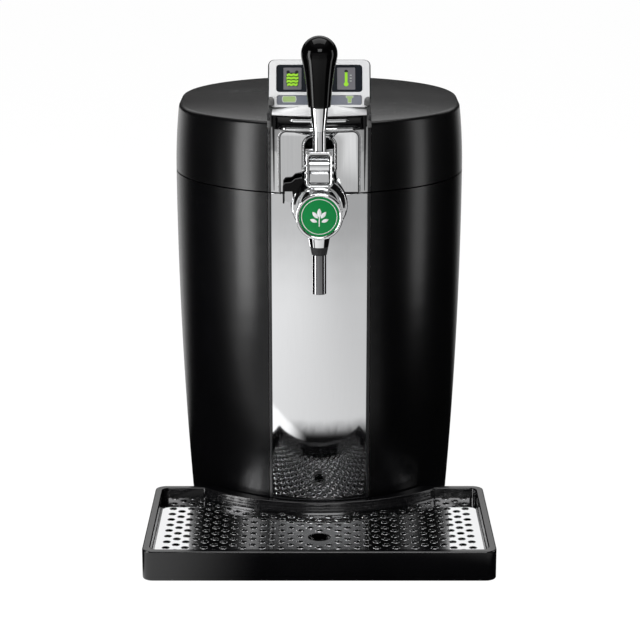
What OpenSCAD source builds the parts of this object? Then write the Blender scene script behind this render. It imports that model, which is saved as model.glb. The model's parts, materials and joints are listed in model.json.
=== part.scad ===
// Countertop dispenser for a mini keg: a cooled column with a hinged lid, a lever tap,
// a control console and a drip tray. +Z is up, the tap faces -Y, and the origin is the
// middle of the footprint on the counter. Millimetres.

/* [Column] */
// Radius of the column at the seam between base and lid
body_r = 138; // [132:1:146]
// Height of the seam between base and lid
seam_z = 324; // [322:1:332]
// Height of the lid from the seam to its rim
lid_h = 64; // [62:1:68]
// Straight length that the column gains towards the rear, for the cooling unit
rear_stretch = 44; // [42:1:50]
// Distance from the column's axis to its flat rear face
rear_face = 162; // [161:1:166]
// Wall thickness of the plastic shells
shell_wall = 3; // [2.4:0.2:3.4]
// Gap between base and lid at the seam
seam_gap = 1.2; // [0.8:0.1:1.6]
// Height that the lid's top rises from rim to middle
dome_rise = 5; // [3:0.5:6]
// Clearance under the base shell
shell_lift = 4; // [3:0.5:5]

/* [Front bay] */
// Half the width of the polished front panel
panel_half = 44; // [42:0.5:45]
// Width of each black rail beside the panel
rail_w = 2.7; // [2.2:0.1:3.2]
// Thickness of the steel front panel
panel_t = 1.5; // [1:0.1:1.8]
// Forward shift of the centre that the panel is curved about
bay_shift = 23; // [18:1:28]
// Height that the panel stands proud of the column
panel_proud = 2; // [1.5:0.1:2.6]
// Height that the black ears beside the console stand above the lid's rim
ear_rise = 23; // [20:1:26]
// Radius of the round cut-out behind the tap
tap_cut_r = 25.5; // [25:0.1:26.5]
// Half the width of the slot in the lid that the beer tube passes
slot_half = 15.5; // [14:0.5:17]
// Distance from the top of that slot up to the lid's rim
slot_drop = 13; // [11:1:16]

/* [Keg chamber] */
// Inner radius of the keg chamber
chamber_r = 88; // [86.5:0.5:90]
// Height of the chamber's floor
chamber_floor = 59.5; // [58:0.5:62]
// Wall of the aluminium chamber
chamber_wall = 1.5; // [1.2:0.1:2]
// Space between the foam jacket and the column's side at the seam
jacket_gap = 21; // [20:1:25]

/* [Tap] */
// Distance from the column's side at the seam to the nozzle's axis
tap_overhang = 40; // [39:0.5:46]
// Height of the lever's pivot above the badge's centre
pivot_rise = 43.5; // [42:0.5:48]
// Radius of the lever's pin
pin_r = 3; // [2.6:0.1:3.4]
// Running clearance round pins and plungers
run_gap = 0.08; // [0.05:0.01:0.1]
// Outer radius of the nozzle tube
nozzle_r = 6.3; // [6.1:0.1:7]
// Distance from the badge's centre down to the nozzle's end
nozzle_drop = 73; // [66:1:80]
// Height of the handle's top above the lever's pivot
handle_rise = 114; // [109:0.5:120]
// Radius of the grip at its widest
grip_r = 16.1; // [15:0.1:17.5]
// Radius of the badge's chrome bezel
bezel_r = 21; // [20.4:0.1:22]

/* [Console] */
// Lean of the console's face from the vertical, in degrees
console_lean = 30; // [27:1:33]
// Half the width of the console
console_half = 45; // [44:0.2:45.4]
// Height of the console's face, measured along it
face_h = 45; // [44:0.5:48]
// Travel of the two buttons
button_travel = 1.2; // [0.8:0.1:1.5]

/* [Drip tray] */
// Width of the tray
tray_w = 314; // [306:1:322]
// Distance from the column's axis to the tray's front
tray_reach = 265; // [260:1:272]
// Distance from the column's axis to the tray's rear edge
tray_rear = 86; // [82:1:90]
// Height of the tray's rim
tray_h = 28; // [27:0.5:30]
// Width of the rim and wall of the tray
tray_wall = 7; // [6:0.5:8]
// Height of the grille's upper face
grille_z = 18; // [16:0.5:19]
// Thickness of the grille
grille_t = 1.5; // [1:0.1:2]
// Radius of the small holes of the grille
hole_r = 3; // [2.6:0.1:3.3]
// Spacing of the hole columns
hole_dx = 8.64; // [8.4:0.02:9]
// Spacing of the hole rows
hole_dy = 7.43; // [7.3:0.01:8]

/* [Hidden] */
$fn = 96;

eps = 0.01;          // overlap of pieces that join
over = 1;            // length that a cut runs past a face
far = 500;           // reach of a cut that goes right through
front_cut = 60;      // distance from the axis at which cuts from the front end
seat = 0.2;          // gap of a seated piece
screw_r = 1.5;       // radius of the screws that hold the hinge
screw_hole_r = 1.6;
screw_len = 8;
screw_head = [3, 1.6];  // radius and height
side_steps = 14;     // straight steps that stand for a side's gentle curve
belly_curve = 4430;  // radius of the base's side in elevation
lid_curve = 567;     // radius of the lid's side in elevation
edge_r = 4;          // rounding of the lid's rim
edge_steps = 5;
crown_steps = 6;
rim_z = seam_z + lid_h;
ear_z = rim_z + ear_rise;
slot_top = rim_z - slot_drop;
jacket_r = body_r - jacket_gap;
tap_reach = body_r + tap_overhang;
knuckle_r = 6;
hinge_clear = 1;     // space between the knuckles and the column's back
hinge_rise = 4;
hinge_y = rear_face + knuckle_r + hinge_clear;
hinge_z = seam_z + hinge_rise;
axis_y = (tray_reach - hinge_y - knuckle_r) / 2;  // puts the footprint's middle at the origin

base_top = seam_z - seam_gap / 2;
lid_bottom = seam_z + seam_gap / 2;
plate_t = 3;
plate_lift = 2;      // height of the base plate above the shell's lower edge
plate_z = shell_lift + plate_lift;
deck_t = 3;
deck_drop = 8;       // distance from the seam down to the deck that carries the chamber
deck_z = seam_z - deck_drop;
flange_t = 1.5;
flange_w = 9;

function base_r(z) = body_r - pow(z - seam_z, 2) / (2 * belly_curve);
function lid_r(z) = body_r - pow(z - seam_z, 2) / (2 * lid_curve);
function side(z0, z1, inset, lid = false) =
  [for (i = [0 : side_steps]) let (z = z0 + (z1 - z0) * i / side_steps)
    [(lid ? lid_r(z) : base_r(z)) - inset, z]];
// Rounded rim and domed top of the lid, from the side wall in to the axis.
function crown_z(inset) = rim_z - inset - edge_r + inset / 2;
function crown(inset) =
  let (re = edge_r - inset / 2, zc = crown_z(inset), rc = lid_r(zc) - inset - re)
  concat(
    [for (i = [1 : edge_steps]) let (a = 90 * i / edge_steps)
      [rc + re * cos(a), zc + re * sin(a)]],
    [for (i = [1 : crown_steps]) let (r = rc * (1 - i / crown_steps))
      [r, rim_z - inset + dome_rise * (1 - pow(r / rc, 2))]]);
function arc(cx, cy, r, a0, a1, n) =
  [for (i = [0 : n]) let (a = a0 + (a1 - a0) * i / n) [cx + r * cos(a), cy + r * sin(a)]];

module place() { translate([0, axis_y, 0]) children(); }

// A profile of [radius, height] swept round the column's long round plan.
module oval(profile) {
  rotate_extrude(angle = 180, start = 180) polygon(profile);
  translate([0, rear_stretch, 0]) rotate_extrude(angle = 180) polygon(profile);
  translate([0, rear_stretch, 0]) rotate([90, 0, 0]) linear_extrude(rear_stretch) {
    polygon(profile);
    mirror([1, 0]) polygon(profile);
  }
}
module slab(size_x, y0, y1, z0, z1) {
  translate([-size_x / 2, y0, z0]) cube([size_x, y1 - y0, z1 - z0]);
}
module box(x0, x1, y0, y1, z0, z1) {
  translate([x0, y0, z0]) cube([x1 - x0, y1 - y0, z1 - z0]);
}
module rod_y(r, y0, y1) { translate([0, y1, 0]) rotate([90, 0, 0]) cylinder(r = r, h = y1 - y0); }
module rod_x(r, x0, x1) { translate([x0, 0, 0]) rotate([0, 90, 0]) cylinder(r = r, h = x1 - x0); }
module rounded(w, h, r) {
  translate([-w / 2 + r, -h / 2]) square([w - 2 * r, h]);
  translate([-w / 2, -h / 2 + r]) square([w, h - 2 * r]);
  for (x = [-1, 1], y = [-1, 1]) translate([x * (w / 2 - r), y * (h / 2 - r)]) circle(r);
}

/* ---- column ---- */
rear_win_half = 49;
rear_win_drop = 38;     // distance from the seam down to the opening for the rear grille
rear_win_z = [114, seam_z - rear_win_drop];
inlet_z = 62;
inlet_size = [28, 21];
inlet_x = -20;
switch_x = 22;
switch_size = [19, 14];
wall_cut = 10;          // reach of the cuts through the shell's back
bay_half = panel_half + rail_w + 2 * seat;
bay_gap = 0.5;          // side clearance of the deck and liner round the bay
cut_out = 30;           // reach of the bay's cuts in front of the column's side
rail_proud = 0.6;       // height of the rails above the panel
frame_lift = 0.5;       // gap between the tray's rim and the panel's frame
panel_foot = 0.6;       // height of the frame's edge below the panel
frame_z0 = tray_h + frame_lift;
panel_z0 = frame_z0 + panel_foot;

module base_outer(inset) {
  intersection() {
    oval(concat([[0, shell_lift]], side(shell_lift, base_top, inset), [[0, base_top]]));
    slab(far, -far, rear_face - inset, 0, far);
  }
}
module base_shell() {
  color("#1b1c1e") difference() {
    base_outer(0);
    base_outer(shell_wall);
    slab(2 * bay_half, -far, -front_cut, frame_z0 - seat, far);
    slab(2 * (rear_win_half + seat), rear_face - wall_cut, rear_face + wall_cut,
      rear_win_z[0] - seat, rear_win_z[1] + seat);
    translate([inlet_x, rear_face, inlet_z])
      slab(inlet_size[0], -wall_cut, wall_cut, -inlet_size[1] / 2, inlet_size[1] / 2);
    translate([switch_x, rear_face, inlet_z])
      slab(switch_size[0], -wall_cut, wall_cut, -switch_size[1] / 2, switch_size[1] / 2);
    for (x = hinge_hole_x) translate([x, rear_face, bracket_screw_z])
      rod_y(screw_hole_r, -wall_cut, wall_cut);
  }
}
// A curved slab of the front bay, between two offsets from the column's side.
module bay(out, in, half, z0, z1, lid = false) {
  intersection() {
    translate([0, -bay_shift, 0]) rotate_extrude(angle = 180, start = 180)
      polygon(concat(side(z0, z1, bay_shift - out, lid),
        [for (i = [side_steps : -1 : 0]) side(z0, z1, bay_shift + in, lid)[i]]));
    slab(2 * half, -far, 0, z0 - over, z1 + over);
  }
}
web_in = 6;             // depth of the frame's inner face below the column's side
tap_drop = 10;          // distance from the seam down to the badge's centre
tap_z = seam_z - tap_drop;
barrel_r = 18.6;
shank_r = 8;
shank_in = 1;           // distance of the shank's lowest line inside the barrel's
shank_z = tap_z - barrel_r + shank_r + shank_in;  // height of the threaded shank that holds the tap
// Distance in front of the axis of a bay surface at half width x, a depth below the side.
function bay_y(x, depth) = lid_bay_y(x, depth, seam_z);
// The same in the lid, at a height.
function lid_bay_y(x, depth, z) = -(bay_shift + sqrt(pow(lid_r(z) - bay_shift - depth, 2) - x * x));
module panel_frame() {
  color("#202124") difference() {
    bay(panel_proud + rail_proud, web_in, panel_half + rail_w, frame_z0, base_top);
    bay(cut_out, panel_t - panel_proud + seat, panel_half + seat, panel_z0 - seat, base_top + over);
    translate([0, 0, shank_z]) rod_y(shank_r + run_gap, -far, -front_cut);
  }
}
module front_panel() {
  color("#c9cbce") difference() {
    bay(panel_proud, panel_t - panel_proud, panel_half, panel_z0, base_top);
    translate([0, 0, tap_z]) rod_y(tap_cut_r, -far, -front_cut);
  }
}
foot_in_x = [64, 60];   // distance of the front and rear feet inside the column's side
foot_in_y = [76, 64];
foot_x = [body_r - foot_in_x[0], body_r - foot_in_x[1]];
foot_y = [foot_in_y[0] - body_r, rear_stretch + body_r - foot_in_y[1]];
foot_spots = [for (i = [0, 1], x = [-1, 1]) [x * foot_x[i], foot_y[i]]];
foot_r = 9;
foot_bevel = [0.6, 2];  // width and height
foot_stud_r = 2;
foot_stud_gap = 0.1;
foot_stud_end = 1.5;    // length of the stud above the plate
board_lift = 6;         // height of the circuit board above the plate
board_boss_r = 4;
board_bore_r = 1.2;
module base_plate() {
  r = base_r(shell_lift) - shell_wall - seat;
  color("#2a2b2e") difference() {
    intersection() {
      oval([[0, plate_z], [r, plate_z], [r, plate_z + plate_t], [0, plate_z + plate_t]]);
      slab(far, -far, rear_face - shell_wall - seat, 0, far);
    }
    for (s = foot_spots) translate([s[0], s[1], plate_z - over])
      cylinder(r = foot_stud_r + foot_stud_gap, h = plate_t + 2 * over);
  }
  color("#2a2b2e") for (s = board_spots) translate([s[0], s[1], plate_z + plate_t - eps])
    difference() {
      cylinder(r = board_boss_r, h = board_lift + eps);
      translate([0, 0, over]) cylinder(r = board_bore_r, h = board_lift);
    }
}
module feet() {
  color("#111111") for (s = foot_spots) translate([s[0], s[1], 0]) {
    cylinder(r1 = foot_r - foot_bevel[0], r2 = foot_r, h = foot_bevel[1]);
    translate([0, 0, foot_bevel[1]]) cylinder(r = foot_r, h = plate_z - foot_bevel[1]);
    translate([0, 0, plate_z - eps]) cylinder(r = foot_stud_r, h = plate_t + foot_stud_end);
  }
}

/* ---- cooling ---- */
chamber_top = deck_z;
chamber_out = chamber_r + chamber_wall;
foam_floor = 12;        // foam under the chamber
jacket_skirt = 16;      // wall of the foam below the chamber
jacket_floor = chamber_floor - chamber_wall - foam_floor;
jacket_top = chamber_top - flange_t;
probe_r = 4;
duct_half = 40;         // half the width of the cut in the foam for the wiring
duct_y = 60;
block_half = 30;
block_z = [160, 220];
block_t = 12;           // thickness of the cold block behind the chamber
block_root = 10;
block_y = chamber_out + block_t;
peltier_half = 20;
peltier_t = 4;
sink_y = block_y + peltier_t;
sink_half = 45;
sink_z = [138, 242];
sink_base = 5;
sink_gap = 1;
fin_len = 21;
fin_t = 2;
fan_y = sink_y + sink_base + fin_len;
fan_t = 20;
fan_half = 46;
fan_z = (sink_z[0] + sink_z[1]) / 2;
fan_bore = 43;

module cooling_chamber() {
  color("#b9bcc0") difference() {
    union() {
      translate([0, 0, chamber_floor - chamber_wall])
        cylinder(r = chamber_out, h = chamber_top - chamber_floor + chamber_wall);
      translate([0, 0, chamber_top - flange_t]) cylinder(r = chamber_out + flange_w, h = flange_t);
    }
    translate([0, 0, chamber_floor]) cylinder(r = chamber_r, h = far);
  }
}
module insulation_jacket() {
  color("#e9e6dc") difference() {
    translate([0, 0, plate_z + plate_t])
      cylinder(r = jacket_r, h = jacket_top - plate_z - plate_t);
    translate([0, 0, chamber_floor - chamber_wall]) cylinder(r = chamber_out + seat, h = far);
    cylinder(r = jacket_r - jacket_skirt, h = jacket_floor);
    translate([0, 0, jacket_floor - over]) cylinder(r = probe_r + seat, h = foam_floor + 2 * over);
    slab(2 * (block_half + seat), 0, far, block_z[0] - seat, block_z[1] + seat);
    slab(2 * sink_half + sink_gap, block_y - seat, far, sink_z[0] - sink_gap, sink_z[1] + sink_gap);
    slab(2 * duct_half, duct_y, far, 0, jacket_floor);
  }
}
module chamber_deck() {
  r = base_r(deck_z) - shell_wall - seat;
  color("#2d2f33") difference() {
    intersection() {
      oval([[0, deck_z], [r, deck_z], [r, deck_z + deck_t], [0, deck_z + deck_t]]);
      slab(far, -far, rear_face - shell_wall - seat, 0, far);
    }
    translate([0, 0, deck_z - over]) cylinder(r = chamber_r, h = deck_t + 2 * over);
    slab(2 * (bay_half + bay_gap), -far, bay_y(bay_half, web_in) + seat, 0, far);
  }
}
module temperature_probe() {
  color("#d9dadb") translate([0, 0, jacket_floor]) cylinder(r = probe_r, h = foam_floor - seat);
}
module cold_block() {
  color("#c4c7ca") difference() {
    slab(2 * block_half, chamber_r - block_root, block_y, block_z[0], block_z[1]);
    cylinder(r = chamber_out + seat, h = far);
  }
}
module peltier_module() {
  color("#f1f1ee") slab(2 * peltier_half, block_y, sink_y,
    fan_z - peltier_half, fan_z + peltier_half);
}
fins = 13;
module heat_sink() {
  color("#9fa3a7") {
    slab(2 * sink_half, sink_y, sink_y + sink_base, sink_z[0], sink_z[1]);
    for (i = [0 : fins - 1])
      translate([-sink_half + fin_t / 2 + i * (2 * sink_half - fin_t) / (fins - 1), 0, 0])
        slab(fin_t, sink_y + sink_base - eps, fan_y, sink_z[0], sink_z[1]);
  }
}
fan_screw_in = 5;
fan_screw = fan_half - fan_screw_in;
fan_screw_r = 1.9;
fan_hole_r = 2;
fan_head = [3.4, 2];    // radius and height of the fan screws' heads
strut_t = 3;
strut_w = 4;
fan_hub_r = 13;
fan_pin_r = 2.5;
fan_pin_y = 5;
rotor_hub_r = 14;
rotor_y = [2, fan_t - strut_t - 1];
blade_w = 22;
blade_t = 1.6;
blade_twist = 35;
blade_gap = 2;          // gap between the blades' tips and the fan's bore
// A flat outline in X and Z, drawn out along Y.
module panel_y(y0, y1) { translate([0, y1, 0]) rotate([90, 0, 0]) linear_extrude(y1 - y0) children(); }
module fan_outline(open) {
  difference() {
    square(2 * fan_half, center = true);
    difference() {
      circle(fan_bore);
      if (!open) {
        for (a = [45, 135]) rotate(a) square([2 * fan_half, strut_w], center = true);
        circle(fan_hub_r);
      }
    }
    for (x = [-1, 1], z = [-1, 1]) translate([x * fan_screw, z * fan_screw]) circle(fan_hole_r);
  }
}
module fan_frame() {
  color("#26282b") translate([0, fan_y, fan_z]) {
    panel_y(0, fan_t - strut_t) fan_outline(true);
    panel_y(fan_t - strut_t, fan_t) fan_outline(false);
    rod_y(fan_pin_r, fan_pin_y, fan_t - strut_t + over);
  }
}
blades = 7;
module fan_rotor() {
  color("#1a1b1d") translate([0, fan_y, fan_z]) difference() {
    union() {
      rod_y(rotor_hub_r, rotor_y[0], rotor_y[1]);
      for (i = [0 : blades - 1]) rotate([0, i * 360 / blades, 0])
        translate([0, (rotor_y[0] + rotor_y[1]) / 2, rotor_hub_r - over]) rotate([0, 0, blade_twist])
          translate([-blade_w / 2, -blade_t / 2, 0])
            cube([blade_w, blade_t, fan_bore - blade_gap - rotor_hub_r + over]);
    }
    rod_y(fan_pin_r + run_gap, fan_pin_y - over, fan_t);
  }
}
module fan_screws() {
  color("#8d9094") for (x = [-1, 1], z = [-1, 1])
    translate([x * fan_screw, fan_y, fan_z + z * fan_screw]) {
      rod_y(fan_screw_r, seat, fan_t + eps);
      rod_y(fan_head[0], fan_t, fan_t + fan_head[1]);
    }
}
slots = 16;
grille_edge = 10;       // height of the plain edge above and below the slots
grille_proud = 0.8;
grille_lap = [3, 2];    // width and thickness of the flange inside the shell
vent_x = 21.5;          // distance of the slots' middles from the centre
vent_w = 37;
vent_open = [0.2, 0.75];  // part of the pitch that is open
module rear_grille() {
  z0 = rear_win_z[0] + grille_edge;
  pitch = (rear_win_z[1] - grille_edge - z0) / slots;
  y0 = rear_face - shell_wall - grille_lap[1];
  color("#232427") difference() {
    union() {
      slab(2 * rear_win_half, y0, rear_face + grille_proud, rear_win_z[0], rear_win_z[1]);
      slab(2 * (rear_win_half + grille_lap[0]), y0, rear_face - shell_wall - seat,
        rear_win_z[0] - grille_lap[0], rear_win_z[1] + grille_lap[0]);
    }
    for (i = [0 : slots - 1]) for (x = [-1, 1]) translate([x * vent_x, 0, 0])
      slab(vent_w, rear_face - wall_cut, rear_face + wall_cut,
        z0 + (i + vent_open[0]) * pitch, z0 + (i + vent_open[1]) * pitch);
  }
}
inlet_d = 16;
inlet_rim = [2.5, 2];   // width and thickness
inlet_wall = 3;
pin_t = 2;              // width of the inlet's three pins
pin_y = [-13.5, -4];
pin_z = [-3, 1];
pin_pitch = 7;
module power_inlet() {
  w = inlet_size[0] - 2 * seat;
  h = inlet_size[1] - 2 * seat;
  color("#141516") translate([inlet_x, rear_face, inlet_z]) difference() {
    union() {
      slab(w, -inlet_d, 0, -h / 2, h / 2);
      slab(w + 2 * inlet_rim[0], 0, inlet_rim[1], -h / 2 - inlet_rim[0], h / 2 + inlet_rim[0]);
    }
    slab(w - 2 * inlet_wall, inlet_wall - inlet_d, wall_cut, inlet_wall - h / 2, h / 2 - inlet_wall);
  }
  color("#c9b27a") for (i = [-1 : 1]) translate([inlet_x + i * pin_pitch, rear_face, inlet_z])
    slab(pin_t, pin_y[0], pin_y[1], pin_z[0], pin_z[1]);
}
switch_d = 14;
switch_rim = [2, 1.5];  // width and thickness
switch_wall = 2;
switch_floor = 3;
rocker_in = 3;          // depth of the rocker's pin below the column's back
rocker_pin_r = 1;
rocker_pin_wall = 0.6;  // wall left outside the pin's seat
rocker_gap = 0.3;
rocker_r = 5.6;
rocker_y = [-5.5, 4.5];
module switch_housing() {
  w = switch_size[0] - 2 * seat;
  h = switch_size[1] - 2 * seat;
  color("#141516") translate([switch_x, rear_face, inlet_z]) difference() {
    union() {
      slab(w, -switch_d, 0, -h / 2, h / 2);
      slab(w + 2 * switch_rim[0], 0, switch_rim[1], -h / 2 - switch_rim[0], h / 2 + switch_rim[0]);
    }
    slab(w - 2 * switch_wall, switch_floor - switch_d, wall_cut, switch_wall - h / 2, h / 2 - switch_wall);
    translate([0, -rocker_in, 0])
      rod_x(rocker_pin_r + run_gap, rocker_pin_wall - w / 2, w / 2 - rocker_pin_wall);
  }
}
rocker_tilt = 8;
rocker_drop = 1.1;      // clearance above and below the rocker
module switch_rocker() {
  room = switch_size[0] / 2 - seat;
  w = 2 * (room - switch_wall - rocker_gap);
  h = switch_size[1] - 2 * (seat + switch_wall) - 2 * rocker_drop;
  color("#a81e1e") translate([switch_x, rear_face - rocker_in, inlet_z]) {
    rotate([rocker_tilt, 0, 0]) intersection() {
      slab(w, rocker_y[0], rocker_y[1], -h / 2, h / 2);
      rod_x(rocker_r, -w / 2, w / 2);
    }
    rod_x(rocker_pin_r, rocker_pin_wall + rocker_gap - room, room - rocker_pin_wall - rocker_gap);
  }
}
board_spots = [[-42, -30], [42, -30], [-42, 30], [42, 30]];
board_half = [48, 38];
board_t = 1.6;
board_hole_r = 1.6;
board_cans = [[-30, 8, 8, 18], [30, 12, 6, 16], [30, -12, 6, 16]];  // place, radius, height
board_blocks = [[-17, 17, -12, 20, 20], [-38, -22, -19, -9, 14]];   // sides and height
board_screw = [1.1, 5];   // radius and length
board_head = [2.8, 1.8];  // radius and height
module power_board() {
  z = plate_z + plate_t + board_lift;
  color("#2f6b3a") difference() {
    slab(2 * board_half[0], -board_half[1], board_half[1], z, z + board_t);
    for (s = board_spots) translate([s[0], s[1], z - over])
      cylinder(r = board_hole_r, h = board_t + 2 * over);
  }
  color("#3b3d42") translate([0, 0, z + board_t - eps]) {
    for (c = board_cans) translate([c[0], c[1], 0]) cylinder(r = c[2], h = c[3]);
    for (b = board_blocks) box(b[0], b[1], b[2], b[3], 0, b[4]);
  }
}
module board_screws() {
  z = plate_z + plate_t + board_lift + board_t;
  color("#8d9094") for (s = board_spots) translate([s[0], s[1], z]) {
    cylinder(r = board_head[0], h = board_head[1]);
    translate([0, 0, -board_screw[1]]) cylinder(r = board_screw[0], h = board_screw[1] + eps);
  }
}

/* ---- hinge ---- */
hinge_plate_drop = [30, 4];  // depth of the bracket's plate below the seam, bottom and top
hinge_plate_z = [seam_z - hinge_plate_drop[0], seam_z - hinge_plate_drop[1]];
hinge_hole_x = [-28, 28];
leaf_hole_x = [-12, 12];
screw_inset = 8;        // distance of the hinge's screws from the edges of its plates
bracket_screw_z = hinge_plate_z[0] + screw_inset;
knuckle_in = 21;
knuckle_out = 35;
knuckle_gap = 0.5;
bracket_lap = 3;        // width of the bracket's plate beyond its knuckles
bracket_arm = [12, 4.5];  // height of its arms, and half the depth of the posts above them
leaf_lift = [12, 32];   // height of the leaf's plate above the seam, bottom and top
leaf_z = [seam_z + leaf_lift[0], seam_z + leaf_lift[1]];
leaf_screw_z = leaf_z[1] - screw_inset;
leaf_arm = [4, 3];      // half the height of the leaf's arm, and the depth of its web
hinge_t = 2.5;
pin_head = [1.5, 1.5];  // width and thickness of the hinge pin's heads
pin_play = 0.3;
module knuckle(x0, x1) {
  translate([0, hinge_y, hinge_z]) rod_x(knuckle_r, x0, x1);
}
module hinge_bore() { translate([0, hinge_y, hinge_z]) rod_x(pin_r + run_gap, -far, far); }
module hinge_bracket() {
  color("#202124") difference() {
    union() {
      slab(2 * (knuckle_out + bracket_lap), rear_face, rear_face + hinge_t,
        hinge_plate_z[0], hinge_plate_z[1]);
      for (x = [-1, 1]) translate([x * (knuckle_in + knuckle_out) / 2, 0, 0]) {
        slab(knuckle_out - knuckle_in, rear_face, hinge_y,
          hinge_plate_z[1] - bracket_arm[0], hinge_plate_z[1]);
        slab(knuckle_out - knuckle_in, hinge_y - bracket_arm[1], hinge_y + bracket_arm[1],
          hinge_plate_z[1] - hinge_t, hinge_z);
        knuckle(-(knuckle_out - knuckle_in) / 2, (knuckle_out - knuckle_in) / 2);
      }
    }
    hinge_bore();
    for (x = hinge_hole_x) translate([x, 0, bracket_screw_z])
      rod_y(screw_hole_r, rear_face - over, rear_face + hinge_t + over);
  }
}
module hinge_leaf() {
  half = knuckle_in - knuckle_gap;
  color("#202124") difference() {
    union() {
      slab(2 * half, rear_face, rear_face + hinge_t, leaf_z[0], leaf_z[1]);
      slab(2 * half, rear_face, hinge_y + leaf_arm[1], leaf_z[0] - leaf_arm[0], leaf_z[0] + leaf_arm[0]);
      slab(2 * half, hinge_y - leaf_arm[1], hinge_y + leaf_arm[1], hinge_z, leaf_z[0]);
      knuckle(-half, half);
    }
    hinge_bore();
    for (x = leaf_hole_x) translate([x, 0, leaf_screw_z])
      rod_y(screw_hole_r, rear_face - over, rear_face + hinge_t + over);
  }
}
module hinge_pin() {
  color("#b4b7bb") translate([0, hinge_y, hinge_z]) {
    rod_x(pin_r, -knuckle_out - pin_play - over, knuckle_out + pin_play + over);
    for (x = [knuckle_out + pin_play, -knuckle_out - pin_play - pin_head[1]])
      rod_x(pin_r + pin_head[0], x, x + pin_head[1]);
  }
}
module hinge_screw() {
  y = rear_face + hinge_t;
  rod_y(screw_r, rear_face - screw_len, y + eps);
  rod_y(screw_head[0], y, y + screw_head[1]);
}
module bracket_screws() {
  color("#8d9094") for (x = hinge_hole_x) translate([x, 0, bracket_screw_z]) hinge_screw();
}
module leaf_screws() {
  color("#8d9094") for (x = leaf_hole_x) translate([x, 0, leaf_screw_z]) hinge_screw();
}

/* ---- lid ---- */
frame_rise = 8;           // height of the lid frame's top above the lid's rim
face_lead = 5;            // reach of the console's face in front of the column's side
face_rise = 16;           // height of that face's bottom edge above the lid's rim
frame_top = rim_z + frame_rise;
face_front = body_r + face_lead;
face_z = rim_z + face_rise;
lid_web = 12;           // depth of the lid frame's inner face below the lid's side
fascia_in = 9;          // depth of the fascia's inner face
field_half = 35.6;
field_drop = 8;         // distance from the lid's rim down to the sunk field's top
field_depth = 0.4;
field_top = rim_z - field_drop;
field_corner = 6;
slot_corner = 10;
cove_r = 8;
cove_out = 5;           // distance of the cove's centre in front of the fascia
cove_end = 2;           // width left at each end of the cove
lid_back = lid_bay_y(bay_half, lid_web, frame_top) + seat;
liner_room = 10;        // extra radius of the liner round the chamber
liner_r = chamber_r + liner_room;
liner_t = 2;
liner_drop = 12;        // distance from the lid's rim down to the liner's ceiling
liner_top = rim_z - liner_drop;
liner_lift = 1;
liner_foot = lid_bottom + liner_lift;
gasket_gap = 0.3;
gasket_w = 6;

module lid_outer(inset, z0) {
  intersection() {
    oval(concat([[0, z0]], side(z0, crown_z(inset), inset, true), crown(inset)));
    slab(far, -far, rear_face - inset, 0, far);
  }
}
module lid_shell() {
  color("#2b2c2e") difference() {
    lid_outer(0, lid_bottom);
    lid_outer(shell_wall, lid_bottom - over);
    slab(2 * bay_half, -far, lid_back, 0, far);
    for (x = leaf_hole_x) translate([x, rear_face, leaf_screw_z]) rod_y(screw_hole_r, -wall_cut, wall_cut);
  }
}
// The liner's cup and its tunnel for the beer tube, grown by a given amount.
module liner_form(grow) {
  translate([0, 0, lid_bottom]) cylinder(r = liner_r + grow, h = liner_top + grow - lid_bottom);
  slab(2 * (slot_half + grow), bay_y(0, fascia_in) + seat, 0, lid_bottom, slot_top + grow);
}
module lid_liner() {
  r = lid_r(liner_foot) - shell_wall - seat;
  color("#d4d6d8") difference() {
    union() {
      liner_form(liner_t);
      difference() {
        intersection() {
          oval([[0, liner_foot], [r, liner_foot], [r, liner_foot + liner_t], [0, liner_foot + liner_t]]);
          slab(far, -far, rear_face - shell_wall - seat, 0, far);
        }
        slab(2 * (bay_half + bay_gap), -far, lid_back + seat, 0, far);
      }
    }
    translate([0, 0, lid_bottom - over]) cylinder(r = liner_r, h = liner_top - lid_bottom + over);
    slab(2 * slot_half, -far, 0, lid_bottom - over, slot_top);
  }
}
module lid_insulation() {
  foot = liner_foot + liner_t + seat;
  color("#e9e6dc") difference() {
    lid_outer(shell_wall + seat, foot);
    liner_form(liner_t + seat);
    slab(2 * (bay_half + 2 * bay_gap), -far, lid_back + seat, 0, far);
    for (x = leaf_hole_x) translate([x, rear_face, leaf_screw_z])
      rod_y(screw_head[0], -screw_len - 4 * over, wall_cut);
  }
}
module lid_gasket() {
  z = deck_z + deck_t + gasket_gap;
  color("#3a3b3d") translate([0, 0, z]) difference() {
    cylinder(r = liner_r + gasket_w, h = lid_bottom - z);
    translate([0, 0, -over]) cylinder(r = liner_r, h = lid_bottom - z + 2 * over);
  }
}
ear_lead = 4;           // reach of the ears in front of the console's face
ear_depth = 20;         // distance from the column's side back to the ears' root
ear_lift = 2;
ear_step = 6;           // distance from the console's face down to the ears' wider foot
ear_nose = 6;           // rounding of an ear's upper front corner
ear_toe = 4;            // distance from the column's side back to the front edge's lower end
ear_front = face_front + ear_lead;
ear_root = body_r - ear_depth;
ear_z0 = rim_z + ear_lift;
ear_foot_z = face_z - ear_step;
// Half widths of an ear: inner face above the visor, inner face beside it, outer face
ear_x = [40.4, 43, 45];
module arch_y(half, z0, z1, r, y0, y1) {
  translate([0, y1, 0]) rotate([90, 0, 0]) linear_extrude(y1 - y0) {
    translate([-half, z0]) square([2 * half, z1 - r - z0]);
    translate([-half + r, z0]) square([2 * (half - r), z1 - z0]);
    for (x = [-1, 1]) translate([x * (half - r), z1 - r]) circle(r);
  }
}
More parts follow.
